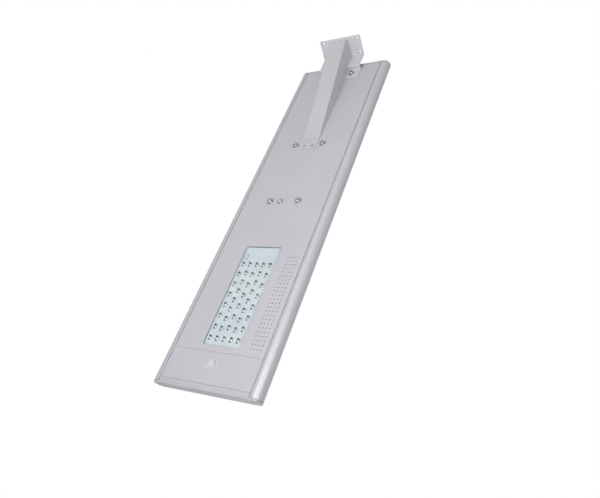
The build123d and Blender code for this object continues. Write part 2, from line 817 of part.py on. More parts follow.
clip = 8.0                    # how far the rib stays out of the folds
rib_shoulder = 62.0           # where the rib's back edge leaves the plate
rib_nose = (fold_x - 16.0, -rib_top + 1.2)
nose_r = 9.0
rib_edge_r = 2.0
with BuildSketch(Plane.XZ) as rib_side:
    with BuildLine():
        Polyline(plate_point(clip), plate_point(rib_shoulder), rib_nose, (rib_end, -rib_toe),
                 (rib_end, 0), (flange_end + gap, 0), (flange_end + gap, -bracket_t),
                 (riser_x + clip / 2, -bracket_t), (riser_x, -bracket_t - clip / 2),
                 (riser_x, fold_z), (fold_x + clip, fold_z), close=True)
    make_face()
    fillet(rib_side.vertices().sort_by_distance((*rib_nose, 0))[0], nose_r)

with BuildPart() as bracket_rib:
    with BuildSketch(Plane.XZ.offset(-rib_w / 2)):
        add(rib_side.sketch_local)
    extrude(amount=rib_w)
    slope_mid = ((rib_nose[0] + rib_end) / 2, 0, (rib_nose[1] - rib_toe) / 2)
    slope_face = bracket_rib.faces().sort_by_distance(slope_mid)[0]
    fillet(slope_face.edges().filter_by(Axis.Y, reverse=True), rib_edge_r)
    with BuildSketch(Plane.XZ.offset(-rib_w / 2 + rib_wall)):
        with Locations((0, rib_wall)):
            add(rib_side.sketch_local)
    extrude(amount=rib_w - 2 * rib_wall, mode=Mode.SUBTRACT)
    with BuildSketch(Plane.XY):
        with Locations(((rib_end + rib_foot_end) / 2, 0)):
            Rectangle(rib_foot_end - rib_end, rib_w)
        with Locations(foot_screws):
            Circle(foot_screw_r + hole_clear, mode=Mode.SUBTRACT)
    extrude(amount=-rib_foot_t)

backing_x0 = 34.0
backing_x1 = 76.0
backing_half = 80.0
backing_t = 4.0
with BuildPart() as backing_plate:
    box(backing_x0, backing_x1, -backing_half, backing_half, sheet_t, sheet_t + backing_t)
    with BuildSketch(Plane.XY.offset(sheet_t)):
        with Locations(bolt_places(bolt_rows[:1])):
            Circle(bolt_r + hole_clear)
    extrude(amount=backing_t, mode=Mode.SUBTRACT)

# Each row's outer seat and inner seat: the flange and backing plate, or the cover and tray.
seats = ((-bracket_t, sheet_t + backing_t), (0.0, sheet_t + tray_t), (0.0, sheet_t + tray_t))
bolt_nut_t = 6.5
bolt_nut_flats = 13.0
socket_flats = 6.0
socket_depth = 4.0
bolt_tail = 1.5
with BuildPart() as bolt_washers:
    for row, (outer, _) in zip(bolt_rows, seats):
        with BuildSketch(Plane.XY.offset(outer)):
            with Locations(bolt_places((row,))):
                Circle(washer_r)
                Circle(bolt_r + hole_clear, mode=Mode.SUBTRACT)
        extrude(amount=-washer_t)

with BuildPart() as bracket_bolts:
    for row, (outer, inner) in zip(bolt_rows, seats):
        head_z = outer - washer_t
        with BuildSketch(Plane.XY.offset(head_z)):
            with Locations(bolt_places((row,))):
                Circle(bolt_head_r)
        extrude(amount=-bolt_head_h)
        with BuildSketch(Plane.XY.offset(head_z)):
            with Locations(bolt_places((row,))):
                Circle(bolt_r)
        extrude(amount=inner + bolt_nut_t + bolt_tail - head_z)
        with BuildSketch(Plane.XY.offset(head_z - bolt_head_h)):
            with Locations(bolt_places((row,))):
                RegularPolygon(socket_flats / 2, 6, major_radius=False)
        extrude(amount=socket_depth, mode=Mode.SUBTRACT)

foot_nut_t = 4.0
foot_nut_flats = 8.0
foot_head_r = 4.6
foot_head_h = 2.8
foot_head_round = 1.6
with BuildPart() as bolt_nuts:
    for row, (_, inner) in zip(bolt_rows, seats):
        with BuildSketch(Plane.XY.offset(inner)):
            with Locations(bolt_places((row,))):
                RegularPolygon(bolt_nut_flats / 2, 6, major_radius=False)
                Circle(bolt_r + screw_fit, mode=Mode.SUBTRACT)
        extrude(amount=bolt_nut_t)
    with BuildSketch(Plane.XY.offset(sheet_t + tray_t)):
        with Locations(foot_screws):
            RegularPolygon(foot_nut_flats / 2, 6, major_radius=False)
            Circle(foot_screw_r + screw_fit, mode=Mode.SUBTRACT)
    extrude(amount=foot_nut_t)

with BuildPart() as rib_foot_screws:
    with BuildSketch(Plane.XY.offset(-rib_foot_t)):
        with Locations(foot_screws):
            Circle(foot_head_r)
    extrude(amount=-foot_head_h)
    fillet(rib_foot_screws.edges().group_by(Axis.Z)[0], foot_head_round)
    with BuildSketch(Plane.XY.offset(-rib_foot_t)):
        with Locations(foot_screws):
            Circle(foot_screw_r)
    extrude(amount=rib_foot_t + sheet_t + tray_t + foot_nut_t + 1)

save(bracket_rib.part, "bracket_rib")
save(backing_plate.part, "backing_plate")
save(bolt_washers.part, "bolt_washers")
save(bracket_bolts.part, "bracket_bolts")
save(bolt_nuts.part, "bolt_nuts")
save(rib_foot_screws.part, "rib_foot_screws")
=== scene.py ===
"""Looks of an all-in-one solar street lamp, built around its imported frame.

Every class models in the lamp's own axes: X runs from the pole end to the foot, Y across, and Z
from the lamp face (z = 0) up to the solar face.  LampFrame holds those axes and sets each
finished mesh into the frame, so that every object stands at the origin, unturned.
"""
import json
import logging
import math
from dataclasses import dataclass
from enum import Enum

import bmesh
import bpy
from mathutils import Matrix, Quaternion, Vector

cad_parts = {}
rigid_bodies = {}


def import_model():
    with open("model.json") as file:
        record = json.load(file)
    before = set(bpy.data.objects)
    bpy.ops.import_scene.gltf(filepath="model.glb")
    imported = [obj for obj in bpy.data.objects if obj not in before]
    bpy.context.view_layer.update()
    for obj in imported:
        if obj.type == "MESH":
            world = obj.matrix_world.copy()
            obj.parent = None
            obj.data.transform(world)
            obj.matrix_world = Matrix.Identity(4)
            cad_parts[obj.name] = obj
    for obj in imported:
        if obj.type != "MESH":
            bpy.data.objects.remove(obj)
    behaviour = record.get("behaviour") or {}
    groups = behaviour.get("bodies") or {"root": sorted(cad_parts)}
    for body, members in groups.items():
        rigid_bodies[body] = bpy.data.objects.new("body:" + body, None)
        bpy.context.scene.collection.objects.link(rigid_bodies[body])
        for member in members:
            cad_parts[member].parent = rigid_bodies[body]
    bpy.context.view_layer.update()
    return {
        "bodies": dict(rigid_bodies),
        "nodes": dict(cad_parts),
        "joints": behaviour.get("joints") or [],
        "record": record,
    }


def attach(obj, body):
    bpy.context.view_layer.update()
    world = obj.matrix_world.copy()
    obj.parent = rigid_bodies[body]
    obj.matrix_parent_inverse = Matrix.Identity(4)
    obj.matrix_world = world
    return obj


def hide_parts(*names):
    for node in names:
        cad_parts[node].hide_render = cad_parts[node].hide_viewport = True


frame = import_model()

log = logging.getLogger("lamp")

MM = 0.001
WELD = 1e-6                   # points nearer than this are one point
PARALLEL = 0.999              # least cosine between edges that run the same way
RIGHT_ANGLE = math.pi / 2
FULL_TURN = 2 * math.pi

BMesh = bmesh.types.BMesh
Edge = bmesh.types.BMEdge
Vert = bmesh.types.BMVert
Socket = bpy.types.NodeSocket
Point = tuple[float, float]
Triple = tuple[float, float, float]
Colour = Triple
Box = tuple[Vector, Vector]       # lowest and highest corner


# --- The lamp's own axes ------------------------------------------------------------------
class LampFrame:
    """The lamp's axes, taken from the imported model, and the places of its nodes in them."""

    def __init__(self, packed: dict) -> None:
        """Read the axes: the button slides along the lamp's Z, and Y is the frame's own.
        """
        self.nodes = packed["nodes"]
        self.record = packed["record"]
        up = Vector(packed["joints"][0]["axis"]).normalized()
        across = Vector((0, 1, 0))
        along = across.cross(up)
        turn = Matrix((along, across, up)).transposed()
        pole_end = min(along @ v.co for v in self.nodes["end_cap_pole"].data.vertices)
        face = min(up @ v.co for v in self.nodes["bottom_cover"].data.vertices)
        self.to_frame = Matrix.LocRotScale(along * pole_end + up * face, turn, None)
        self.from_frame = self.to_frame.inverted()

    def box(self, node: str) -> Box:
        """Lowest and highest corner of a CAD node in the lamp's axes."""
        return corners([self.from_frame @ v.co for v in self.nodes[node].data.vertices])

    def solids(self, node: str) -> list[Box]:
        """Boxes of a CAD node's separate solids, in the lamp's axes.

        Args:
            node: the node's name.

        Returns:
            One pair of lowest and highest corners for each solid.
        """
        bm = bmesh.new()
        bm.from_mesh(self.nodes[node].data)
        bmesh.ops.remove_doubles(bm, verts=bm.verts, dist=WELD)
        bm.transform(self.from_frame)
        left = set(bm.verts)
        boxes = []
        for start in bm.verts:
            if start not in left:
                continue
            left.remove(start)
            front = [start]
            points = []
            while front:
                vert = front.pop()
                points.append(vert.co.copy())
                near = {edge.other_vert(vert) for edge in vert.link_edges} & left
                left -= near
                front.extend(near)
            boxes.append(corners(points))
        bm.free()
        return boxes

    def centres(self, node: str) -> list[Vector]:
        """Middles of a CAD node's separate solids, in the lamp's axes."""
        return [(low + high) / 2 for low, high in self.solids(node)]


def corners(points: list[Vector]) -> Box:
    """Lowest and highest corner of a list of points."""
    low = Vector([min(p[i] for p in points) for i in range(3)])
    high = Vector([max(p[i] for p in points) for i in range(3)])
    return low, high


# --- Finishes -----------------------------------------------------------------------------
class Tree:
    """The node tree of a material or of the world."""

    def __init__(self, owner: bpy.types.Material | bpy.types.World) -> None:
        """Start with no nodes.

        Args:
            owner: the material or world that the tree belongs to.
        """
        owner.use_nodes = True
        self.tree = owner.node_tree
        self.tree.nodes.clear()

    def add(self, kind: str) -> bpy.types.Node:
        """Add a node of a kind."""
        return self.tree.nodes.new(kind)

    def join(self, source: Socket, target: Socket) -> None:
        """Link two sockets."""
        self.tree.links.new(source, target)

    def feed(self, target: Socket, value: object) -> None:
        """Link a socket to an input, or set a constant on it.

        Args:
            target: the input to feed.
            value: an output socket, a number or a colour.
        """
        if isinstance(value, Socket):
            self.join(value, target)
        elif isinstance(value, tuple) and len(value) == 3 and target.type == "RGBA":
            target.default_value = (*value, 1.0)
        else:
            target.default_value = value

    def math(self, operation: str, first: object, second: object = 0.0) -> Socket:
        """A Math node on two values."""
        node = self.add("ShaderNodeMath")
        node.operation = operation
        self.feed(node.inputs[0], first)
        self.feed(node.inputs[1], second)
        return node.outputs["Value"]

    def span(self, value: object, low: float, high: float, out_low: float = 0.0,
             out_high: float = 1.0) -> Socket:
        """Remap a value from one range to another, clamped."""
        node = self.add("ShaderNodeMapRange")
        for key, number in zip(("Value", "From Min", "From Max", "To Min", "To Max"),
                               (value, low, high, out_low, out_high)):
            self.feed(node.inputs[key], number)
        return node.outputs["Result"]


class Graph(Tree):
    """One material's tree, with a vector that follows the lamp's axes, in metres."""

    mix_inputs = (0, 6, 7)        # a Mix node's factor and its two colours
    mix_output = 2                # its colour

    def __init__(self, name: str, axes: Matrix) -> None:
        """Start the tree with an output, a shader and the lamp's coordinates.

        Args:
            name: the material's name.
            axes: turns the frame's axes into the lamp's.
        """
        self.material = bpy.data.materials.new(name)
        super().__init__(self.material)
        output = self.add("ShaderNodeOutputMaterial")
        self.shader = self.add("ShaderNodeBsdfPrincipled")
        self.join(self.shader.outputs["BSDF"], output.inputs["Surface"])
        coords = self.add("ShaderNodeTexCoord")
        mapping = self.add("ShaderNodeMapping")
        place, turn, _ = axes.decompose()
        mapping.inputs["Location"].default_value = place
        mapping.inputs["Rotation"].default_value = turn.to_euler()
        self.join(coords.outputs["Object"], mapping.inputs["Vector"])
        self.place = mapping.outputs["Vector"]

    def set(self, **values: object) -> None:
        """Set the shader's inputs by name, with underscores for spaces."""
        for key, value in values.items():
            self.feed(self.shader.inputs[key.replace("_", " ")], value)

    def stretched(self, scale: Triple) -> Socket:
        """The lamp's coordinates, scaled on each axis."""
        node = self.add("ShaderNodeVectorMath")
        node.operation = "MULTIPLY"
        self.join(self.place, node.inputs[0])
        node.inputs[1].default_value = scale
        return node.outputs["Vector"]

    def axis(self, name: str) -> Socket:
        """One of the lamp's coordinates, by its letter."""
        node = self.add("ShaderNodeSeparateXYZ")
        self.join(self.place, node.inputs["Vector"])
        return node.outputs[name]

    def noise(self, scale: float, stretch: Triple = (1, 1, 1),
              detail: float = 3.0) -> Socket:
        """Noise from 0 to 1.

        Args:
            scale: how many features to the metre.
            stretch: scaling of each axis, under 1 for a long grain.
            detail: octaves.

        Returns:
            The noise's output.
        """
        node = self.add("ShaderNodeTexNoise")
        self.join(self.stretched(stretch), node.inputs["Vector"])
        node.inputs["Scale"].default_value = scale
        node.inputs["Detail"].default_value = detail
        return node.outputs["Fac"]

    def mix(self, factor: object, first: object, second: object) -> Socket:
        """Mix two colours by a factor."""
        node = self.add("ShaderNodeMix")
        node.data_type = "RGBA"
        for index, value in zip(self.mix_inputs, (factor, first, second)):
            self.feed(node.inputs[index], value)
        return node.outputs[self.mix_output]

    def stripes(self, axis: str, pitch: float, width: float) -> Socket:
        """Lines across an axis: 1 on a line, 0 between.

        Args:
            axis: the coordinate that the lines cross.
            pitch: spacing of the lines, in metres.
            width: a line's width, in metres.

        Returns:
            The mask's output.
        """
        phase = self.math("PINGPONG", self.axis(axis), pitch / 2)
        return self.span(phase, width / 2, width, 1.0, 0.0)

    def relief(self, height: object, depth: float) -> None:
        """Bump the shader by a height field.

        Args:
            height: the field, from 0 to 1.
            depth: its full height in metres.
        """
        node = self.add("ShaderNodeBump")
        node.inputs["Strength"].default_value = 1.0
        node.inputs["Distance"].default_value = depth
        self.feed(node.inputs["Height"], height)
        self.join(node.outputs["Normal"], self.shader.inputs["Normal"])


# Parts of a noise's range that are stretched to the whole: the narrower, the crisper.
SOFT = (0.25, 0.75)
EVEN = (0.3, 0.7)
CRISP = (0.35, 0.65)


class Grain(Enum):
    """Named grains of a metal surface: features to the metre, stretch of the axes, depth."""

    DRAWN = (900.0, (0.012, 1.0, 1.0), 0.000012)
    SPRAYED = (700.0, (1.0, 1.0, 1.0), 0.000035)
    CAST = (420.0, (1.0, 1.0, 1.0), 0.00006)
    TURNED = (1500.0, (1.0, 1.0, 0.05), 0.000008)
    ROLLED = (500.0, (0.05, 1.0, 1.0), 0.000015)


@dataclass(frozen=True)
class Metal:
    """A metal or metallic paint: a grain in its relief, cloudy colour, uneven gloss."""

    colour: Colour
    grain: Grain
    metallic: float = 0.5
    roughness: float = 0.4
    cloud: float = 0.04           # how far the colour wanders
    clouds: float = 6.0           # clouds to the metre
    unevenness: float = 0.06      # how far the roughness wanders

    def build(self, graph: Graph) -> None:
        """Dress the graph's shader."""
        scale, stretch, depth = self.grain.value
        fine = graph.noise(scale, stretch, detail=4.0)
        broad = graph.noise(self.clouds, detail=2.0)
        darker = tuple(c * (1 - self.cloud) for c in self.colour)
        lighter = tuple(min(1.0, c * (1 + self.cloud)) for c in self.colour)
        graph.set(
            Base_Color=graph.mix(graph.span(broad, *EVEN), darker, lighter),
            Roughness=graph.span(fine, *SOFT, self.roughness - self.unevenness,
                                 self.roughness + self.unevenness),
            Metallic=self.metallic,
        )
        graph.relief(fine, depth)


@dataclass(frozen=True)
class Moulding:
    """A moulded plastic or rubber: fine spark texture, faint mottling."""

    colour: Colour
    roughness: float = 0.5
    texture: float = 1200.0       # features of the mould's texture to the metre
    depth: float = 0.00002
    mottles: float = 35.0         # mottles to the metre
    shade: float = 0.88           # how dark a mottle is
    smoother: float = -0.05       # how far the roughness wanders each way
    rougher: float = 0.08

    def build(self, graph: Graph) -> None:
        """Dress the graph's shader."""
        spark = graph.noise(self.texture)
        mottle = graph.noise(self.mottles)
        darker = tuple(c * self.shade for c in self.colour)
        graph.set(
            Base_Color=graph.mix(graph.span(mottle, *EVEN), darker, self.colour),
            Roughness=graph.span(spark, *EVEN, self.roughness + self.smoother,
                                 self.roughness + self.rougher),
        )
        graph.relief(spark, self.depth)


@dataclass(frozen=True)
class Clear:
    """A clear sheet or moulding that light passes through."""

    colour: Colour
    ior: float = 1.5
    roughness: float = 0.04
    gloss: float = 0.5            # under 0.5 for an anti-glare coating
    texture: float = 900.0
    depth: float = 0.000004
    patches: float = 9.0          # patches of dust to the metre
    clean: float = 1.04           # how much lighter it is between them

    def build(self, graph: Graph) -> None:
        """Dress the graph's shader."""
        ripple = graph.noise(self.texture)
        dust = graph.noise(self.patches, detail=5.0)
        clean = tuple(min(1.0, c * self.clean) for c in self.colour)
        graph.set(
            Base_Color=graph.mix(graph.span(dust, *CRISP), self.colour, clean),
            Roughness=graph.span(dust, *EVEN, self.roughness, self.roughness * 2),
            Transmission_Weight=1.0,
            Specular_IOR_Level=self.gloss,
            IOR=self.ior,
        )
        graph.relief(ripple, self.depth)


@dataclass(frozen=True)
class Silicon:
    """Monocrystalline cells: printed silver fingers on a dark blue-black coating."""

    colour: Colour = (0.015, 0.020, 0.042)
    finger: Colour = (0.16, 0.17, 0.19)
    finger_pitch: float = 1.9 * MM
    finger_width: float = 0.09 * MM
    finger_show: float = 0.55     # how far a finger covers the coating
    blue: Triple = (1.1, 1.5, 1.9)    # how far each colour rises where the coating is thin
    patches: float = 4.5          # patches of thin coating to the metre
    depth: float = 0.00002

    def build(self, graph: Graph) -> None:
        """Dress the graph's shader."""
        fingers = graph.stripes("X", self.finger_pitch, self.finger_width)
        printed = graph.math("MULTIPLY", fingers, self.finger_show)
        tint = graph.noise(self.patches, detail=2.0)
        bluer = tuple(c * rise for c, rise in zip(self.colour, self.blue))
        coating = graph.mix(graph.span(tint, *CRISP), self.colour, bluer)
        graph.set(
            Base_Color=graph.mix(printed, coating, self.finger),
            Roughness=graph.span(fingers, 0.0, 1.0, 0.3, 0.5),
            Specular_IOR_Level=0.2,
            IOR=1.4,
        )
        graph.relief(fingers, self.depth)


@dataclass(frozen=True)
class SolderMask:
    """A circuit board: mask over copper tracks, with bare pads."""

    colour: Colour
    track: Colour
    pad: Colour = (0.62, 0.60, 0.52)
    pitch: float = 5.0 * MM       # of the tracks' rows; the columns stand half as far again
    width: float = 1.1 * MM
    breaks: float = 90.0          # breaks in the tracks to the metre
    depth: float = 0.00003
    painted_glow: float = 0.0             # painted light: emission that stands in for the light the clear plate guides onto the board
    painted_glow_colour: Colour = (0.78, 0.93, 1.0)

    def build(self, graph: Graph) -> None:
        """Dress the graph's shader."""
        rows = graph.stripes("X", self.pitch, self.width)
        columns = graph.stripes("Y", self.pitch * 1.5, self.width)
        tracks = graph.math("MAXIMUM", rows, columns)
        pads = graph.math("MULTIPLY", rows, columns)
        broken = graph.math("GREATER_THAN", graph.noise(self.breaks, detail=1.0), 0.5)
        masked = graph.mix(graph.math("MULTIPLY", tracks, broken), self.colour, self.track)
        graph.set(
            Base_Color=graph.mix(pads, masked, self.pad),
            Roughness=graph.span(pads, 0.0, 1.0, 0.35, 0.22),
            Metallic=graph.math("MULTIPLY", pads, 0.8),
            # painted light: the board glows faintly, though it is no lamp
            Emission_Color=self.painted_glow_colour,
            Emission_Strength=self.painted_glow,
        )
        graph.relief(tracks, self.depth)


@dataclass(frozen=True)
class ShrinkWrap:
    """Battery cells in shrink film, with a lighter band and faint wrinkles."""

    colour: Colour
    band: Colour
    band_pitch: float = 66.0 * MM
    band_width: float = 9.0 * MM
    depth: float = 0.0001

    def build(self, graph: Graph) -> None:
        """Dress the graph's shader."""
        bands = graph.stripes("X", self.band_pitch, self.band_width)
        wrinkles = graph.noise(160.0, (0.3, 1.0, 1.0))
        graph.set(
            Base_Color=graph.mix(bands, self.colour, self.band),
            Roughness=graph.span(wrinkles, *EVEN, 0.22, 0.38),
            Coat_Weight=0.4,
        )
        graph.relief(wrinkles, self.depth)


@dataclass(frozen=True)
class BreatherCloth:
    """Dark woven mesh behind the vents."""

    colour: Colour
    thread: Colour
    pitch: float = 0.8 * MM
    width: float = 0.24 * MM
    depth: float = 0.0001

    def build(self, graph: Graph) -> None:
        """Dress the graph's shader."""
        warp, weft = (graph.stripes(axis, self.pitch, self.width) for axis in "XY")
        weave = graph.math("MAXIMUM", warp, weft)
        graph.set(Base_Color=graph.mix(weave, self.colour, self.thread), Roughness=0.8)
        graph.relief(weave, self.depth)


@dataclass(frozen=True)
class Phosphor:
    """An LED's yellow phosphor under silicone, grainy and slightly uneven; it glows faintly, a
    painted highlight.
    """

    colour: Colour = (0.92, 0.88, 0.56)
    paler: Colour = (0.95, 0.94, 0.78)
    painted_glow: float = 0.45            # painted highlight: emission that stands in for the light its lens gathers onto it
    grains: float = 4000.0        # grains to the metre
    depth: float = 0.00002

    def build(self, graph: Graph) -> None:
        """Dress the graph's shader."""
        grain = graph.noise(self.grains)
        graph.set(
            Base_Color=graph.mix(graph.span(grain, *CRISP), self.colour, self.paler),
            Roughness=0.3,
            Coat_Weight=0.6,
            # painted highlight: the phosphor glows faintly to give each lens a bright spot
            Emission_Color=self.colour,
            Emission_Strength=self.painted_glow,
        )
        graph.relief(grain, self.depth)


Finish = Metal | Moulding | Clear | Silicon | SolderMask | ShrinkWrap | BreatherCloth | Phosphor

FINISHES: dict[str, Finish] = {
    "rail_alu": Metal((0.65, 0.65, 0.68), Grain.DRAWN, metallic=0.35, roughness=0.38, cloud=0.02),
    "cap_alu": Metal((0.60, 0.60, 0.62), Grain.CAST, metallic=0.3, roughness=0.46),
    "cover_alu": Metal((0.60, 0.595, 0.625), Grain.SPRAYED, metallic=0.2, roughness=0.5,
                       cloud=0.02),
    "bracket_paint": Metal((0.66, 0.66, 0.675), Grain.SPRAYED, metallic=0.1, roughness=0.45,
                           cloud=0.02),
    # painted shade: a darker copy of the bracket paint, for the rib
    "rib_paint_shaded": Metal((0.60, 0.60, 0.612), Grain.SPRAYED, metallic=0.1, roughness=0.45,
                       cloud=0.03),
    # painted shade: near-black walls for the bracket's pole holes
    "painted_hole_shade": Metal((0.05, 0.05, 0.052), Grain.ROLLED, metallic=0.2, roughness=0.6),
    "steel": Metal((0.62, 0.62, 0.63), Grain.TURNED, metallic=1.0, roughness=0.2),
    "panel_glass": Clear((0.90, 0.95, 0.97), ior=1.3, roughness=0.03, gloss=0.2),
    "cell_mono": Silicon(),
    "panel_black": Moulding((0.012, 0.013, 0.017), roughness=0.42),
    "silver_ribbon": Metal((0.30, 0.31, 0.33), Grain.ROLLED, metallic=0.8, roughness=0.4),
    "seal_rubber": Moulding((0.025, 0.025, 0.027), roughness=0.62, depth=0.00004),
    "lens_clear": Clear((0.955, 0.985, 1.0), ior=1.45, roughness=0.015),
    # painted light: a pale cyan for the lens seal, which lightens the border round the lens plate
    "seal_painted_light": Moulding((0.60, 0.80, 0.80), roughness=0.4, depth=0.00001),
    # painted light: the white board is given a faint glow
    "board_white": SolderMask((0.86, 0.90, 0.93), (0.82, 0.87, 0.90), pad=(0.78, 0.82, 0.84),
                              painted_glow=0.15),
    # painted highlight: the phosphor keeps its default glow
    "led_phosphor": Phosphor(),
    "heat_alu": Metal((0.58, 0.59, 0.60), Grain.ROLLED, metallic=0.9, roughness=0.36),
    "mesh_dark": BreatherCloth((0.30, 0.30, 0.32), (0.54, 0.54, 0.56)),
    "dome_plastic": Moulding((0.76, 0.755, 0.78), roughness=0.36, texture=900.0, depth=0.00001),
    "board_green": SolderMask((0.015, 0.13, 0.055), (0.03, 0.20, 0.09)),
    "battery_wrap": ShrinkWrap((0.03, 0.20, 0.48), (0.55, 0.58, 0.60)),
    "case_grey": Moulding((0.17, 0.18, 0.19), roughness=0.5),
    "cable_black": Moulding((0.016, 0.016, 0.017), roughness=0.42, texture=700.0),
    "switch_black": Moulding((0.025, 0.025, 0.026), roughness=0.45),
    "button_grey": Moulding((0.62, 0.62, 0.65), roughness=0.3),
    "plate_zinc": Metal((0.56, 0.57, 0.58), Grain.ROLLED, metallic=0.85, roughness=0.38,
                        cloud=0.1),
}

# Nodes whose finish differs from the rest of their slot. The lens seal's pale cyan, in place of
# black rubber, is painted light that keeps the border round the lens plate from showing shaded
# dark.
OWN_FINISH = {"lens_seal": "seal_painted_light"}


# --- Modelling helpers --------------------------------------------------------------------
class Pen:
    """Draws one closed outline on a plane of a bmesh, from straight runs and arcs."""

    def __init__(self, bm: BMesh, plane: Matrix, start: Point) -> None:
        """Set the pen down.

        Args:
            bm: the mesh to draw in.
            plane: its X and Y are the outline's axes.
            start: the first point.
        """
        self.bm = bm
        self.plane = plane
        self.verts = [bm.verts.new(self.at(start))]
        self.edges: list[Edge] = []

    def at(self, point: Point) -> Vector:
        """A point of the plane in the mesh's axes."""
        return self.plane @ Vector((*point, 0.0))

    def to(self, *points: Point) -> "Pen":
        """Straight runs through points."""
        for point in points:
            vert = self.bm.verts.new(self.at(point))
            self.edges.append(self.bm.edges.new((self.verts[-1], vert)))
            self.verts.append(vert)
        return self

    def arc(self, centre: Point, degrees: float, steps: int) -> "Pen":
        """An arc from where the pen is.

        Args:
            centre: its centre.
            degrees: how far it turns, positive from the plane's X towards its Y.
            steps: its number of edges.

        Returns:
            The pen.
        """
        normal = (self.plane.to_3x3() @ Vector((0, 0, 1))).normalized()
        bmesh.ops.spin(self.bm, geom=[self.verts[-1]], cent=self.at(centre), axis=normal,
                       angle=math.radians(degrees), steps=steps)
        for _ in range(steps):
            last = self.verts[-1]
            edge = next(e for e in last.link_edges if e not in self.edges)
            self.edges.append(edge)
            self.verts.append(edge.other_vert(last))
        return self

    def close(self) -> list[Edge]:
        """Join the last point to the first, and return the outline's edges."""
        first, last = self.verts[0], self.verts[-1]
        if (first.co - last.co).length < WELD:
            bmesh.ops.pointmerge(self.bm, verts=[first, last], merge_co=first.co)
            self.verts = [v for v in self.verts if v.is_valid]
            self.edges = list(dict.fromkeys(e for v in self.verts for e in v.link_edges))
        else:
            self.edges.append(self.bm.edges.new((last, first)))
        return self.edges


PLANE_YZ = Matrix(((0, 0, 1, 0), (1, 0, 0, 0), (0, 1, 0, 0), (0, 0, 0, 1)))
PLANE_XZ = Matrix(((1, 0, 0, 0), (0, 0, -1, 0), (0, 1, 0, 0), (0, 0, 0, 1)))


def foot_of(low: Vector, high: Vector, z: float = 0.0) -> Vector:
    """The point at a height in the middle of a box."""
    return Vector(((low.x + high.x) / 2, (low.y + high.y) / 2, z))


def level(centre: Vector, z: float) -> Matrix:
    """The plane flat over a centre, at a height."""
    return Matrix.Translation((centre.x, centre.y, z))


def circle(bm: BMesh, plane: Matrix, radius: float, steps: int,
           centre: Point = (0, 0)) -> list[Edge]:
    """A circle on a plane, as edges."""
    pen = Pen(bm, plane, (centre[0] + radius, centre[1]))
    return pen.arc(centre, 360, steps).close()


def weld(bm: BMesh) -> None:
    """Merge the points that lie together."""
    bmesh.ops.remove_doubles(bm, verts=bm.verts, dist=WELD)


def fill(bm: BMesh, edges: list[Edge], normal: Triple) -> None:
    """Fill outlines and the holes within them with triangles."""
    bmesh.ops.triangle_fill(bm, edges=edges, use_beauty=True, normal=normal)


def bridge(bm: BMesh, loops: list[list[Edge]]) -> None:
    """Join each loop to the next with a band of faces."""
    for first, second in zip(loops, loops[1:]):
        bmesh.ops.bridge_loops(bm, edges=first + second)


def mirror(bm: BMesh, signs: Triple) -> None:
    """Mirror a mesh, keeping its faces outwards."""
    bmesh.ops.scale(bm, verts=bm.verts, vec=signs)
    bmesh.ops.reverse_faces(bm, faces=bm.faces)


def pull(bm: BMesh, edges: list[Edge], reach: Triple) -> tuple[list[Vert], list[Edge]]:
    """Draw edges out into walls.

    Args:
        bm: the mesh.
        edges: the walls' near edges.
        reach: how far they are drawn.

    Returns:
        The walls' far points and far edges.
    """
    made = bmesh.ops.extrude_edge_only(bm, edges=edges)["geom"]
    verts = [g for g in made if isinstance(g, Vert)]
    bmesh.ops.translate(bm, verts=verts, vec=reach)
    return verts, [g for g in made if isinstance(g, Edge) and all(v in verts for v in g.verts)]


def round_corners(bm: BMesh, verts: list[Vert], radius: float, segments: int) -> None:
    """Round the corners of a flat outline.

    Args:
        bm: the mesh.
        verts: the corners.
        radius: how far each is cut back.
        segments: edges in each corner.
    """
    bmesh.ops.bevel(bm, geom=verts, offset=radius, offset_type="OFFSET", segments=segments,
                    profile=0.5, affect="VERTICES", material=-1)


def bevel(bm: BMesh, edges: list[Edge], width: float, segments: int = 3) -> None:
    """Round edges of a solid to a width."""
    bmesh.ops.bevel(bm, geom=edges, offset=width, offset_type="OFFSET", segments=segments,
                    profile=0.5, affect="EDGES", material=-1, clamp_overlap=True)


def sharp_edges(bm: BMesh, least: float = 40.0) -> list[Edge]:
    """Edges that turn by more than an angle, in degrees."""
    return [e for e in bm.edges
            if len(e.link_faces) == 2 and e.calc_face_angle(0.0) > math.radians(least)]


def extrude(bm: BMesh, faces: list[bmesh.types.BMFace], reach: Vector) -> None:
    """Extrude faces into a closed solid along a vector."""
    made = bmesh.ops.extrude_face_region(bm, geom=faces, use_keep_orig=True)["geom"]
    verts = [g for g in made if isinstance(g, Vert)]
    bmesh.ops.translate(bm, verts=verts, vec=reach)
    bmesh.ops.recalc_face_normals(bm, faces=bm.faces)


def rounded_loop(bm: BMesh, middle: Vector, length: float, width: float,
                 radius: float, segments: int = 6) -> list[Edge]:
    """Edges of a rounded rectangle, flat on the lamp's face.

    Args:
        bm: the mesh to draw in.
        middle: its centre.
        length: its size along X.
        width: its size along Y.
        radius: its corner radius.
        segments: edges in each corner.

    Returns:
        The loop's edges.
    """
    x, y = length / 2 - radius, width / 2 - radius
    pen = Pen(bm, Matrix.Translation(middle), (x, -y - radius)).arc((x, -y), 90, segments)
    pen.to((x + radius, y)).arc((x, y), 90, segments)
    pen.to((-x, y + radius)).arc((-x, y), 90, segments)
    pen.to((-x - radius, -y)).arc((-x, -y), 90, segments)
    return pen.close()


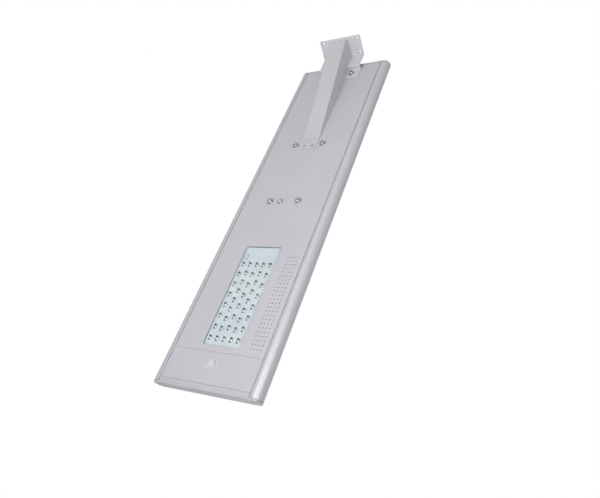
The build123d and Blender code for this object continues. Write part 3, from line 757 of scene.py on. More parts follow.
def lathe(bm: BMesh, centre: Vector, profile: list[Point], steps: int) -> None:
    """Spin a profile about an axis along the lamp's Z.

    Args:
        bm: the mesh.
        centre: a point on the axis.
        profile: radius and height of each point.
        steps: faces around.
    """
    verts = [bm.verts.new(centre + Vector((r, 0, z))) for r, z in profile]
    edges = [bm.edges.new(pair) for pair in zip(verts, verts[1:])]
    bmesh.ops.spin(bm, geom=verts + edges, cent=centre, axis=(0, 0, 1), angle=FULL_TURN,
                   steps=steps, use_merge=True)
    weld(bm)


def turned(centre: Vector, profile: list[Point], steps: int) -> BMesh:
    """A piece of its own, spun from a profile."""
    bm = bmesh.new()
    lathe(bm, centre, profile, steps)
    return bm


def rounding(centre: Point, radius: float, start: float, end: float, steps: int) -> list[Point]:
    """Points of an arc in a profile, from one angle to another, in degrees."""
    angles = [math.radians(start + (end - start) * i / steps) for i in range(steps + 1)]
    return [(centre[0] + radius * math.cos(a), centre[1] + radius * math.sin(a)) for a in angles]


def soft_rim(outer: float, z: float, radius: float, steps: int = 5) -> list[Point]:
    """Points of a rim's round, from its outer wall to its face at a height."""
    return rounding((outer - radius, z + radius), radius, 0, -90, steps)


def block(low: Vector, high: Vector) -> BMesh:
    """A box between two corners."""
    bm = bmesh.new()
    place = Matrix.LocRotScale((low + high) / 2, None, high - low)
    bmesh.ops.create_cube(bm, size=1.0, matrix=place)
    return bm


def join(bm: BMesh, part: BMesh) -> None:
    """Move a part's geometry into another bmesh and free the part."""
    held = bpy.data.meshes.new("held")
    part.to_mesh(held)
    part.free()
    bm.from_mesh(held)
    bpy.data.meshes.remove(held)


def stand(bm: BMesh, name: str) -> bpy.types.Object:
    """Turn a bmesh into an object of the scene, and free it."""
    mesh = bpy.data.meshes.new(name)
    bm.to_mesh(mesh)
    bm.free()
    made = bpy.data.objects.new(name, mesh)
    bpy.context.scene.collection.objects.link(made)
    return made


def applied(holder: bpy.types.Object) -> BMesh:
    """The mesh of a helper object with its modifiers applied; the helper is removed."""
    graph = bpy.context.evaluated_depsgraph_get()
    bm = bmesh.new()
    bm.from_mesh(holder.evaluated_get(graph).to_mesh())
    mesh = holder.data
    bpy.data.objects.remove(holder)
    bpy.data.meshes.remove(mesh)
    return bm


def pierce(solid: BMesh, cutters: BMesh) -> BMesh:
    """Cut the cutters out of a solid.

    Args:
        solid: the solid; it is freed.
        cutters: closed shapes to take away; they are freed.

    Returns:
        The pierced solid.
    """
    blank, tools = stand(solid, "solid"), stand(cutters, "cutters")
    cut = blank.modifiers.new("cut", "BOOLEAN")
    cut.operation = "DIFFERENCE"
    cut.solver = "EXACT"
    cut.object = tools
    pierced = applied(blank)
    mesh = tools.data
    bpy.data.objects.remove(tools)
    bpy.data.meshes.remove(mesh)
    return pierced


class Workshop:
    """Dresses CAD nodes, and turns finished bmeshes into pieces on their bodies."""

    smooth_angle = math.radians(38)

    def __init__(self, lamp: LampFrame) -> None:
        """Make every finish once.

        Args:
            lamp: the lamp's axes and nodes.
        """
        self.lamp = lamp
        self.materials: dict[str, bpy.types.Material] = {}
        for slot, finish in FINISHES.items():
            graph = Graph(slot + "_finish", lamp.from_frame)
            finish.build(graph)
            self.materials[slot] = graph.material

    def dress_nodes(self) -> None:
        """Give each CAD node the finish of its slot."""
        slots = {part["node"]: part["material_slot"] for part in self.lamp.record["subparts"]}
        for name, node in self.lamp.nodes.items():
            finish = OWN_FINISH.get(name, slots[name])
            for material_slot in node.material_slots:
                material_slot.material = self.materials[finish]
            log.info("dressed %s as %s", name, finish)

    def deliver(self, bm: BMesh, name: str, slot: str, nodes: tuple[str, ...],
                body: str = "lamp", finish: str | None = None) -> bpy.types.Object:
        """Set a finished mesh into the frame as a piece.

        Args:
            bm: the mesh, in the lamp's axes; it is freed.
            name: the piece's name.
            slot: its material slot.
            nodes: the CAD nodes that it stands for.
            body: the body that it moves with.
            finish: its own finish, where that differs from the slot's.

        Returns:
            The piece.
        """
        weld(bm)
        bmesh.ops.recalc_face_normals(bm, faces=bm.faces)
        bm.transform(self.lamp.to_frame)
        piece = stand(bm, name)
        mesh = piece.data
        mesh.materials.append(self.materials[finish or slot])
        mesh.shade_smooth()
        mesh.set_sharp_from_angle(angle=self.smooth_angle)
        even = piece.modifiers.new("even_normals", "WEIGHTED_NORMAL")
        even.keep_sharp = True
        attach(piece, body)
        if nodes:
            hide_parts(*nodes)
        log.info("built %s: %d faces on %s", name, len(mesh.polygons), body)
        return piece


# --- Housing ------------------------------------------------------------------------------
@dataclass
class SideRails:
    """The two half-round side extrusions, hollow, with screw ports and a panel seat."""

    shop: Workshop
    wall: float = 2.5 * MM
    web_in: float = 4.0 * MM       # upright web to the centre of the round
    seat_top: float = 6.0 * MM
    sheet: float = 2.0 * MM
    lip: float = 1.0 * MM          # cover's edge to the groove beside it
    groove: float = 2.0 * MM
    ledge_top: float = 34.0 * MM
    ledge: float = 2.5 * MM
    ledge_in: float = 145.0 * MM
    trough: float = 37.0 * MM
    upstand: float = 2.0 * MM
    upstand_top: float = 38.8 * MM
    port: float = 4.5 * MM
    bore: float = 2.05 * MM
    sink: float = 1.0 * MM
    edge_groove: float = 1.2 * MM
    gap: float = 0.3 * MM          # between the cover's edge and the rail
    port_out: float = 0.5 * MM     # the ledge's port, out from the ledge's tip
    groove_shift: float = 0.1 * MM
    groove_sweep: float = 176.0    # degrees of the edge groove's round
    arc_steps: int = 20
    port_steps: int = 14
    bore_steps: int = 12
    groove_steps: int = 8

    def build(self) -> None:
        """Model the left rail's section, extrude it, and mirror it for the right one."""
        for side, name in ((1, "side_rail_left"), (-1, "side_rail_right")):
            bm = bmesh.new()
            self.section(bm)
            low, high = self.shop.lamp.box("side_rail_left")
            bmesh.ops.translate(bm, verts=bm.verts, vec=(low.x, 0, 0))
            extrude(bm, list(bm.faces), Vector((high.x - low.x, 0, 0)))
            if side < 0:
                mirror(bm, (1, -1, 1))
            self.shop.deliver(bm, name + "_extrusion", "rail_alu", (name,))

    def section(self, bm: BMesh) -> None:
        """Draw and fill the left rail's section at x = 0.

        Args:
            bm: the mesh to draw in.
        """
        low, high = self.shop.lamp.box("side_rail_left")
        cover = self.shop.lamp.box("bottom_cover")[1].y + self.gap
        radius = (high.z - low.z) / 2
        centre = (high.y - radius, radius)
        web = centre[0] - self.web_in
        notch = math.degrees(self.edge_groove / radius)
        under = self.ledge_top - self.ledge
        port_b = (self.ledge_in + self.port + self.port_out, under - self.port + self.sink)
        bite = math.degrees(math.asin((under - port_b[1]) / self.port))
        chord = self.port * math.cos(math.radians(bite))
        outer = Pen(bm, PLANE_YZ, (web, 0))
        outer.to((centre[0], 0))
        outer.arc(centre, 90 - notch, self.arc_steps)
        outer.arc((high.y - self.groove_shift, radius), -self.groove_sweep, self.groove_steps)
        outer.to((centre[0] + radius * math.cos(math.radians(notch)),
                  radius + radius * math.sin(math.radians(notch))))
        outer.arc(centre, 90 - notch, self.arc_steps)
        outer.to((web, high.z), (web, self.trough), (cover + self.upstand, self.trough),
                 (cover + self.upstand, self.upstand_top), (cover, self.upstand_top),
                 (cover, self.ledge_top), (self.ledge_in, self.ledge_top),
                 (self.ledge_in, under), (port_b[0] - chord, under))
        outer.arc(port_b, 180 + 2 * bite, self.port_steps)
        outer.to((web, under), (web, self.seat_top), (low.y, self.seat_top), (low.y, self.sheet),
                 (cover + self.lip, self.sheet), (cover + self.lip, self.sheet + self.groove),
                 (web, self.sheet + self.groove))
        outer.close()
        inside = web + self.wall
        port_a = (centre[0] + self.sink, radius)
        reach = math.sqrt(self.port ** 2 - (port_a[0] - inside) ** 2)
        half = math.degrees(math.asin(reach / self.port))
        cavity = Pen(bm, PLANE_YZ, (inside, self.wall))
        cavity.to((centre[0], self.wall))
        cavity.arc(centre, 180, 2 * self.arc_steps)
        cavity.to((inside, high.z - self.wall), (inside, radius + reach))
        cavity.arc(port_a, -(360 - 2 * half), self.port_steps)
        cavity.close()
        for hole in (port_a, port_b):
            circle(bm, PLANE_YZ, self.bore, self.bore_steps, hole)
        weld(bm)
        fill(bm, list(bm.edges), (1, 0, 0))


@dataclass
class EndCaps:
    """The two end plates with their bars, and the screws that hold them."""

    shop: Workshop
    edge: float = 1.4 * MM
    bar_drop: float = 0.5 * MM     # the bar lies a little below the cover's face
    bar_edge: float = 0.5 * MM
    bar_reach: float = 17.0 * MM
    ledge_reach: float = 16.0 * MM
    ledge_past: float = 1.7 * MM   # the ledge's ends, past the rails' inner edges
    ledge_z: Point = (31.5 * MM, 34.0 * MM)
    plate: float = 4.0 * MM
    arc_steps: int = 24
    screw_head: float = 2.2 * MM
    screw_shank: float = 2.0 * MM  # radius

    def build(self) -> None:
        """Build both caps and their screws."""
        for name, inward in (("end_cap_pole", 1), ("end_cap_foot", -1)):
            self.cap(name, inward)
        screws = self.shop.lamp.solids("end_cap_screws")
        self.shop.deliver(self.screw_set(screws), "end_cap_pan_screws", "steel",
                          ("end_cap_screws",))

    def cap(self, name: str, inward: int) -> None:
        """One cap: a rounded plate, the bar beside the cover and the panel's ledge.

        Args:
            name: the CAD node that it stands for.
            inward: 1 where the lamp lies at a higher x than the plate, or -1.
        """
        low, high = self.shop.lamp.box(name)
        outside = low.x if inward > 0 else high.x
        radius = (high.z - low.z) / 2
        half = high.y - radius
        bm = bmesh.new()
        pen = Pen(bm, PLANE_YZ, (-half, 0))
        pen.to((half, 0)).arc((half, radius), 180, self.arc_steps)
        pen.to((-half, 2 * radius)).arc((-half, radius), 180, self.arc_steps)
        pen.close()
        weld(bm)
        face = bmesh.ops.contextual_create(bm, geom=list(bm.verts) + list(bm.edges))["faces"]
        extrude(bm, face, Vector((self.plate, 0, 0)))
        rim = [e for e in sharp_edges(bm) if all(v.co.x < WELD for v in e.verts)]
        bevel(bm, rim, self.edge, 5)
        rail_y = self.shop.lamp.box("side_rail_left")[0].y + self.ledge_past
        cover_low, cover_high = self.shop.lamp.box("bottom_cover")
        bar = ((self.plate, cover_low.y, self.bar_drop),
               (self.bar_reach, cover_high.y, cover_high.z))
        ledge = ((self.plate, -rail_y, self.ledge_z[0]),
                 (self.ledge_reach, rail_y, self.ledge_z[1]))
        for corner_low, corner_high in (bar, ledge):
            piece = block(Vector(corner_low), Vector(corner_high))
            bevel(piece, list(piece.edges), self.bar_edge)
            join(bm, piece)
        if inward < 0:
            mirror(bm, (-1, 1, 1))
        bmesh.ops.translate(bm, verts=bm.verts, vec=(outside, 0, 0))
        self.shop.deliver(bm, name + "_plate", "cap_alu", (name,))

    def screw_set(self, screws: list[Box]) -> BMesh:
        """All end screws, each along X with its head outwards.

        Args:
            screws: the CAD screws' boxes.

        Returns:
            The screws in one mesh.
        """
        bm = bmesh.new()
        lamp_middle = self.shop.lamp.box("bottom_cover")[1].x / 2
        for low, high in screws:
            middle = (low + high) / 2
            head_r = (high.y - low.y) / 2
            outward = -1 if middle.x < lamp_middle else 1
            face = low.x if outward < 0 else high.x
            seat = face - outward * self.screw_head
            screw = PanScrew(head_r, self.screw_head, self.screw_shank,
                             high.x - low.x - self.screw_head).build()
            turn = Matrix.Rotation(outward * RIGHT_ANGLE, 4, "Y")
            screw.transform(Matrix.Translation((seat, middle.y, middle.z)) @ turn)
            join(bm, screw)
        return bm


@dataclass
class PanScrew:
    """A pan-head screw with a cross recess, its seat at the origin and its head up."""

    head_r: float
    head_h: float
    shank_r: float
    shank: float                  # its length, downwards
    flat: float = 0.62            # the crown's flat, as a share of the head's radius
    tip: float = 0.8              # the shank's tip, as a share of its radius
    chamfer: float = 0.5 * MM
    arm: float = 0.5              # the recess's arms, as shares of the head's radius
    arm_half: float = 0.13
    sunk: float = 0.55            # the recess's depth, as a share of the head's height
    taper: float = 0.7
    steps: int = 24

    def build(self) -> BMesh:
        """Spin the screw, then sink its recess."""
        bm = bmesh.new()
        flat_r = self.head_r * self.flat
        crown_r = self.head_r - flat_r
        crown = rounding((flat_r, self.head_h - crown_r), crown_r, 0, 90, 6)
        lathe(bm, Vector(), [(0, -self.shank), (self.shank_r * self.tip, -self.shank),
                             (self.shank_r, -self.shank + self.chamfer), (self.shank_r, 0),
                             (self.head_r, 0), *crown], self.steps)
        rim = [e for e in bm.edges if len(e.link_faces) == 1]
        arm, half = self.head_r * self.arm, self.head_r * self.arm_half
        cross = Pen(bm, Matrix.Translation((0, 0, self.head_h)), (half, half))
        cross.to((half, arm), (-half, arm), (-half, half), (-arm, half), (-arm, -half),
                 (-half, -half), (-half, -arm), (half, -arm), (half, -half), (arm, -half),
                 (arm, half))
        recess = cross.close()
        fill(bm, rim + recess, (0, 0, 1))
        floor, bottom = pull(bm, recess, (0, 0, -self.head_h * self.sunk))
        bmesh.ops.scale(bm, verts=floor, vec=(self.taper, self.taper, 1))
        fill(bm, bottom, (0, 0, 1))
        bmesh.ops.recalc_face_normals(bm, faces=bm.faces)
        return bm


# --- LED module ---------------------------------------------------------------------------
@dataclass
class LensPlate:
    """The clear plate with a domed lens over each LED and a hollow behind each dome."""

    shop: Workshop
    flange: float = 6.0 * MM
    flange_face: float = 2.0 * MM
    corner: float = 5.0 * MM
    edge: float = 0.5 * MM
    recess: float = 0.3 * MM       # the plate's face, behind the cover's
    foot_r: float = 9.0 * MM
    foot_h: float = 0.5 * MM
    foot_draft: float = 0.2 * MM
    dome_r: float = 8.1 * MM
    hollow_r: float = 3.4 * MM
    hollow_h: float = 1.9 * MM
    feet_out: float = 4.4 * MM
    feet_turn: float = math.radians(30)
    foot_pad: float = 2.0 * MM
    pad_draft: float = 0.8
    steps: int = 24
    dome_rows: int = 8
    hollow_rows: int = 4
    pad_steps: int = 10

    def build(self) -> None:
        """Build the plate from loops, then spin a dome and a hollow over each LED."""
        lamp = self.shop.lamp
        low, high = lamp.box("lens_plate")
        face = lamp.box("bottom_cover")[0].z + self.recess
        dome_h = face - low.z
        middle = (low + high) / 2
        length = high.x - low.x - 2 * self.flange
        width = high.y - low.y - 2 * self.flange
        bm = bmesh.new()
        levels = ((face, -self.edge), (face + self.edge, 0), (self.flange_face, 0),
                  (self.flange_face, self.flange), (high.z, self.flange))
        loops = [rounded_loop(bm, Vector((middle.x, middle.y, z)), length + 2 * grow,
                              width + 2 * grow, self.corner + min(grow, 0)) for z, grow in levels]
        bridge(bm, loops)
        fronts, backs = list(loops[0]), list(loops[-1])
        for place in lamp.centres("led_chips"):
            fronts += circle(bm, level(place, face), self.foot_r, self.steps)
            backs += circle(bm, level(place, high.z), self.hollow_r, self.steps)
        fill(bm, fronts, (0, 0, -1))
        fill(bm, backs, (0, 0, 1))
        for place in lamp.centres("led_chips"):
            self.dome(bm, Vector((place.x, place.y, face)), dome_h)
            self.hollow(bm, Vector((place.x, place.y, high.z)))
        self.shop.deliver(bm, "lens_plate_moulding", "lens_clear", ("lens_plate",))
        self.feet()

    def feet(self) -> None:
        """Three dark feet under each lens, between the plate and the board."""
        lamp = self.shop.lamp
        back = lamp.box("lens_plate")[1].z
        board = lamp.box("led_board")[0].z
        bm = bmesh.new()
        for place in lamp.centres("led_chips"):
            for turn in (self.feet_turn + FULL_TURN * i / 3 for i in range(3)):
                out = Vector((math.cos(turn), math.sin(turn), 0)) * self.feet_out
                foot = Vector((place.x, place.y, (back + board) / 2)) + out
                bmesh.ops.create_cone(bm, cap_ends=True, segments=self.pad_steps,
                                      radius1=self.foot_pad, depth=board - back,
                                      radius2=self.foot_pad * self.pad_draft,
                                      matrix=Matrix.Translation(foot))
        self.shop.deliver(bm, "lens_feet", "switch_black", ())

    def dome(self, bm: BMesh, centre: Vector, height: float) -> None:
        """A lens: a low foot ring and a spherical dome, out of the lamp's face.

        Args:
            bm: the mesh.
            centre: the lens's centre on the plate's face.
            height: the dome's top above the face.
        """
        rise = height - self.foot_h
        sphere = (self.dome_r ** 2 + rise ** 2) / (2 * rise)
        sweep = math.degrees(math.asin(self.dome_r / sphere))
        cap = rounding((0, -height + sphere), sphere, -90 + sweep, -90, self.dome_rows)
        profile = [(self.foot_r, 0), (self.foot_r - self.foot_draft, -self.foot_h), *cap[:-1],
                   (0, -height)]
        lathe(bm, centre, profile, self.steps)

    def hollow(self, bm: BMesh, centre: Vector) -> None:
        """The small hollow over an LED, in the plate's back."""
        cap = rounding((0, 0), 1.0, 0, -90, self.hollow_rows)
        profile = [(r * self.hollow_r, z * self.hollow_h) for r, z in cap[:-1]]
        lathe(bm, centre, [*profile, (0, -self.hollow_h)], self.steps)


# --- Motion sensor ------------------------------------------------------------------------
@dataclass
class MotionSensor:
    """The sensor's faceted dome and the soft-edged ring around it."""

    shop: Workshop
    facet_in: float = 0.18 * MM
    facet_depth: float = 0.10 * MM
    rows: int = 7
    columns: int = 20
    wall: float = 1.2 * MM
    flange_z: float = 2.0 * MM
    inner_rows: int = 10
    skirt_steps: int = 40
    ring_edge: float = 0.9 * MM
    ring_gap: float = 0.3 * MM     # between the ring and the dome
    ring_chamfer: float = 0.4 * MM
    ring_steps: int = 64

    def build(self) -> None:
        """Build the dome and its ring."""
        self.dome()
        self.ring()

    def dome(self) -> None:
        """A half sphere of small lens facets on a short skirt and flange."""
        low, high = self.shop.lamp.box("pir_dome")
        flange_r = (high.x - low.x) / 2
        radius = -low.z
        centre = foot_of(low, high)
        bm = bmesh.new()
        cap = rounding((0, 0), radius, 0, -90, self.rows)
        lathe(bm, centre, [*cap[:-1], (0, -radius)], self.columns)
        facets = bmesh.ops.inset_individual(bm, faces=list(bm.faces), thickness=self.facet_in,
                                            depth=0.0, use_even_offset=True)
        bmesh.ops.recalc_face_normals(bm, faces=bm.faces)
        frames = set(facets["faces"])
        for facet in [f for f in bm.faces if f not in frames]:
            bmesh.ops.translate(bm, verts=facet.verts, vec=-facet.normal * self.facet_depth)
        inner = radius - self.wall
        inside = rounding((0, 0), inner, -90, 0, self.inner_rows)
        skirt = bmesh.new()
        lathe(skirt, centre, [(radius, 0), (radius, self.flange_z), (flange_r, self.flange_z),
                              (flange_r, high.z), (inner, high.z), (inner, 0)], self.skirt_steps)
        lathe(skirt, centre, [(0, -inner), *inside[1:]], self.skirt_steps)
        join(bm, skirt)
        self.shop.deliver(bm, "sensor_dome_lens", "dome_plastic", ("pir_dome",))

    def ring(self) -> None:
        """The ring that seats the dome on the cover."""
        low, high = self.shop.lamp.box("pir_ring")
        outer = (high.x - low.x) / 2
        inner = -self.shop.lamp.box("pir_dome")[0].z + self.ring_gap
        profile = [(inner, high.z), (outer, high.z), *soft_rim(outer, low.z, self.ring_edge),
                   (inner + self.ring_chamfer, low.z), (inner, low.z + self.ring_chamfer),
                   (inner, high.z)]
        ring = turned(foot_of(low, high), profile, self.ring_steps)
        self.shop.deliver(ring, "sensor_ring", "dome_plastic", ("pir_ring",))


# --- Power switch -------------------------------------------------------------------------
@dataclass
class PowerSwitch:
    """The oblong bezel, the bush through the cover and the travelling push button."""

    shop: Workshop
    bezel_edge: float = 0.7 * MM
    bezel_mid: Point = (0.2 * MM, 0.3 * MM)  # a point of its rim: height and inset
    bezel_hole: float = 8.4 * MM
    bezel_steps: int = 20
    barrel: float = 8.0 * MM
    collar_h: float = 1.5 * MM
    collar_edge: float = 0.6 * MM
    bore_gap: float = 0.3 * MM     # between the button and its bush
    bore_chamfer: float = 0.5 * MM
    bush_stem: float = 2.3 * MM
    pocket: float = 6.5 * MM
    button_edge: float = 0.8 * MM
    button_cap: float = 7.0 * MM
    button_stem: float = 2.0 * MM
    dish: float = 0.5 * MM
    dish_mid: Point = (0.55, 0.7)  # a point of the dish: shares of its radius and depth
    steps: int = 48

    def build(self) -> None:
        """Build the bezel, the bush and the button."""
        self.bezel()
        self.bush()
        self.button()

    def axis(self) -> Vector:
        """The switch's centre on the cover's face."""
        return foot_of(*self.shop.lamp.box("power_button"))

    def bezel(self) -> None:
        """A plate with half-round ends and a soft edge, open around the bush."""
        low, high = self.shop.lamp.box("switch_bezel")
        centre = self.axis()
        radius = (high.y - low.y) / 2
        half = (high.x - low.x) / 2 - radius
        bm = bmesh.new()
        levels = ((high.z, 0.0), (low.z + self.bezel_edge, 0.0),
                  (low.z + self.bezel_mid[0], self.bezel_mid[1]), (low.z, self.bezel_edge))
        loops = []
        for z, less in levels:
            pen = Pen(bm, level(centre, z), (-half, -radius + less))
            pen.to((half, -radius + less)).arc((half, 0), 180, self.bezel_steps)
            pen.to((-half, radius - less)).arc((-half, 0), 180, self.bezel_steps)
            loops.append(pen.close())
        bridge(bm, loops)
        holes = [circle(bm, level(centre, z), self.bezel_hole, self.steps)
                 for z in (high.z, low.z)]
        bridge(bm, holes)
        fill(bm, loops[0] + holes[0], (0, 0, 1))
        fill(bm, loops[-1] + holes[1], (0, 0, -1))
        self.shop.deliver(bm, "switch_bezel_plate", "cover_alu", ("switch_bezel",))

    def bush(self) -> None:
        """The bush: a soft-edged collar on a barrel, hollow for the button and its stem."""
        low, high = self.shop.lamp.box("switch_body")
        button = self.shop.lamp.box("power_button")
        collar = (high.x - low.x) / 2
        bore = (button[1].x - button[0].x) / 2 + self.bore_gap
        under = low.z + self.collar_h
        profile = [(self.bush_stem, high.z), (self.barrel, high.z), (self.barrel, under),
                   (collar, under), *soft_rim(collar, low.z, self.collar_edge),
                   (bore + self.bore_chamfer, low.z), (bore, low.z + self.bore_chamfer),
                   (bore, self.pocket), (self.bush_stem, self.pocket), (self.bush_stem, high.z)]
        bush = turned(self.axis(), profile, self.steps)
        self.shop.deliver(bush, "switch_bush", "steel", ("switch_body",))

    def button(self) -> None:
        """The button: a dished cap on its stem."""
        low, high = self.shop.lamp.box("power_button")
        radius = (high.x - low.x) / 2
        cap_end = low.z + self.button_cap
        mid_r, mid_z = self.dish_mid
        profile = [(0, high.z), (self.button_stem, high.z), (self.button_stem, cap_end),
                   (radius, cap_end), *soft_rim(radius, low.z, self.button_edge),
                   (radius * mid_r, low.z + self.dish * mid_z), (0, low.z + self.dish)]
        button = turned(self.axis(), profile, self.steps)
        self.shop.deliver(button, "push_button", "button_grey", ("power_button",), body="button")


# --- Pole bracket -------------------------------------------------------------------------
@dataclass
class PoleBracket:
    """The folded plate, the wedge rib welded on it, and the fixings."""

    shop: Workshop
    sheet: float = 4.0 * MM
    fold_r: float = 5.0 * MM
    edge: float = 0.7 * MM
    riser: float = 29.0 * MM       # middle of the riser's thickness, from the pole end
    flange_end: float = 80.0 * MM
    fold: Point = (-30.0 * MM, -18.0 * MM)
    plate_len: float = 72.0 * MM
    rib_w: float = 64.0 * MM
    rib_edge: float = 3.2 * MM
    nose: Point = (-46.0 * MM, -82.8 * MM)
    nose_r: float = 9.0 * MM
    toe: Point = (374.0 * MM, -3.0 * MM)
    rib_start: float = 8.0 * MM    # the rib's back on the pole plate, down from the fold
    rib_stop: float = 62.0 * MM
    rib_seat: tuple[Point, ...] = (  # the rib's side against the folded plate
        (80.3 * MM, 0.0), (80.3 * MM, -4.0 * MM), (35.0 * MM, -4.0 * MM),
        (31.0 * MM, -8.0 * MM), (31.0 * MM, -20.0 * MM), (-22.0 * MM, -20.0 * MM))
    foot_end: float = 420.0 * MM
    foot_t: float = 2.0 * MM
    foot_lap: float = 0.5 * MM     # the foot's start, inside the rib
    foot_corner: float = 6.0 * MM
    foot_edge: float = 0.5 * MM
    hole_flare: float = 0.6 * MM
    hole_steps: int = 32
    fixing_steps: int = 48
    head_h: float = 7.0 * MM       # bolt head
    head_edge: float = 2.2 * MM
    shank_r: float = 4.0 * MM
    shank_edge: float = 0.8 * MM
    socket_r: float = 3.9 * MM     # the crown's opening, around the hexagon
    hexagon_r: float = 3.46 * MM
    hexagon_cuts: int = 7
    socket_mouth: float = 0.5 * MM
    socket_depth: float = 4.0 * MM
    washer_bore: float = 4.4 * MM
    washer_edge: float = 0.6 * MM
    screw_head: float = 2.8 * MM   # foot screws
    screw_shank: float = 2.5 * MM

    def build(self) -> None:
        """Build the plate, the rib and the fixings."""
        self.plate()
        self.rib()
        self.bolts()
        self.washers()
        self.foot_screws()

    def down(self) -> Vector:
        """The pole plate's direction from its fold: straight down once installed."""
        return self.shop.lamp.from_frame.to_3x3() @ Vector((0, 0, -1))

    def plate(self) -> None:
        """Fold the strip, give it thickness and soft edges, then pierce it."""
        lamp = self.shop.lamp
        low, high = lamp.box("bracket_plate")
        half = self.sheet / 2
        end = Vector((self.fold[0], 0, self.fold[1])) + self.down() * self.plate_len
        path = [(self.flange_end, -half), (self.riser, -half), (self.riser, self.fold[1]),
                self.fold, (end.x, end.z)]
        bm = bmesh.new()
        verts = [bm.verts.new((x, low.y, z)) for x, z in path]
        edges = [bm.edges.new(pair) for pair in zip(verts, verts[1:])]
        pull(bm, edges, (0, high.y - low.y, 0))
        folds = [e for e in bm.edges if len(e.link_faces) == 2]
        bevel(bm, folds, self.fold_r, 6)
        bmesh.ops.recalc_face_normals(bm, faces=bm.faces)
        strip = self.thicken(bm)
        bevel(strip, sharp_edges(strip, 60), self.edge)
        cutters = bmesh.new()
        mount = next(m for m in lamp.record["mounts"] if m["kind"] == "bolt_pattern")
        radius, apart_y, apart_z = (mount["dims"][key] * MM for key in
                                    ("hole_r_mm", "spacing_x_mm", "spacing_y_mm"))
        turn = Matrix.Rotation(RIGHT_ANGLE, 4, "Y")
        for i in (-0.5, 0.5):
            for j in (-0.5, 0.5):
                cutter = self.cutter(radius)
                place = Matrix.Translation((half, i * apart_y, j * apart_z))
                cutter.transform(lamp.from_frame @ place @ turn)
                join(cutters, cutter)
        piece = self.shop.deliver(pierce(strip, cutters), "bracket_folded_plate",
                                  "bracket_paint", ("bracket_plate",))
        self.darken_holes(piece.data, radius + self.hole_flare, (apart_y / 2, apart_z / 2))

    def darken_holes(self, mesh: bpy.types.Mesh, radius: float, off: Point) -> None:
        """Paint the walls of the pole holes near-black: painted shade, so that the holes read
        dark.

        Args:
            mesh: the finished plate, in the frame's axes.
            radius: the holes' radius at the plate's faces.
            off: how far the holes stand from the plate's middle, across and up.
        """
        # painted shade: the hole walls take the near-black finish
        mesh.materials.append(self.shop.materials["painted_hole_shade"])
        for face in mesh.polygons:
            x, y, z = face.center
            if x < self.sheet and math.hypot(abs(y) - off[0], abs(z) - off[1]) < radius:
                face.material_index = 1

    def thicken(self, bm: BMesh) -> BMesh:
        """Give a folded surface its thickness, half to each side.

        Args:
            bm: the surface; it is freed.

        Returns:
            The solid strip.
        """
        holder = stand(bm, "strip")
        wall = holder.modifiers.new("wall", "SOLIDIFY")
        wall.thickness = self.sheet
        wall.offset = 0.0
        wall.use_even_offset = True
        return applied(holder)

    def cutter(self, radius: float) -> BMesh:
        """A hole's cutter along Z, flared where it meets both faces of the sheet."""
        half, flare = self.sheet / 2, self.hole_flare
        past = self.sheet             # well clear of both faces
        profile = [(0, -past), (radius + flare, -past), (radius + flare, -half),
                   (radius, -half + flare), (radius, half - flare), (radius + flare, half),
                   (radius + flare, past), (0, past)]
        bm = turned(Vector(), profile, self.hole_steps)
        bmesh.ops.recalc_face_normals(bm, faces=bm.faces)
        return bm

    def rib(self) -> None:
        """The wedge rib: its side outline extruded, its long edges rounded, and its foot."""
        normal = self.shop.lamp.from_frame.to_3x3() @ Vector((1, 0, 0))
        fold = Vector((self.fold[0], 0, self.fold[1])) + normal * self.sheet / 2
        near = fold + self.down() * self.rib_start
        shoulder = fold + self.down() * self.rib_stop
        bm = bmesh.new()
        plane = Matrix.Translation((0, self.rib_w / 2, 0)) @ PLANE_XZ
        outline = Pen(bm, plane, (near.x, near.z))
        outline.to((shoulder.x, shoulder.z), self.nose, self.toe, (self.toe[0], 0), *self.rib_seat)
        outline.close()
        tip = [v for v in bm.verts if abs(v.co.x - self.nose[0]) < WELD]
        bmesh.ops.contextual_create(bm, geom=list(bm.verts) + list(bm.edges))
        round_corners(bm, tip, self.nose_r, 6)
        extrude(bm, list(bm.faces), Vector((0, -self.rib_w, 0)))
        slope = Vector((self.toe[0] - self.nose[0], 0, self.toe[1] - self.nose[1])).normalized()
        long_edges = [e for e in sharp_edges(bm)
                      if abs((e.verts[0].co - e.verts[1].co).normalized().dot(slope)) > PARALLEL
                      and e.calc_length() > self.rib_w]
        bevel(bm, long_edges, self.rib_edge, 5)
        foot = block(Vector((self.toe[0] - self.foot_lap, -self.rib_w / 2, -self.foot_t)),
                     Vector((self.foot_end, self.rib_w / 2, 0)))
        upright = [e for e in foot.edges if e.verts[0].co.x > self.toe[0]
                   and abs(e.verts[0].co.z - e.verts[1].co.z) > self.foot_t / 2]
        bevel(foot, upright, self.foot_corner, 6)
        rim = [e for e in sharp_edges(foot)
               if all(v.co.z < -self.foot_t + WELD for v in e.verts)]
        bevel(foot, rim, self.foot_edge, 2)
        join(bm, foot)
        # painted shade: the rib takes a darker copy of the bracket's paint
        self.shop.deliver(bm, "bracket_wedge_rib", "bracket_paint", ("bracket_rib",),
                          finish="rib_paint_shaded")

    def bolts(self) -> None:
        """Socket-head bolts with soft crowns, on their CAD places."""
        bm = bmesh.new()
        for low, high in self.shop.lamp.solids("bracket_bolts"):
            centre = foot_of(low, high, low.z)
            join(bm, self.socket_bolt(centre, (high.x - low.x) / 2, high.z - low.z))
        self.shop.deliver(bm, "bracket_socket_bolts", "steel", ("bracket_bolts",))

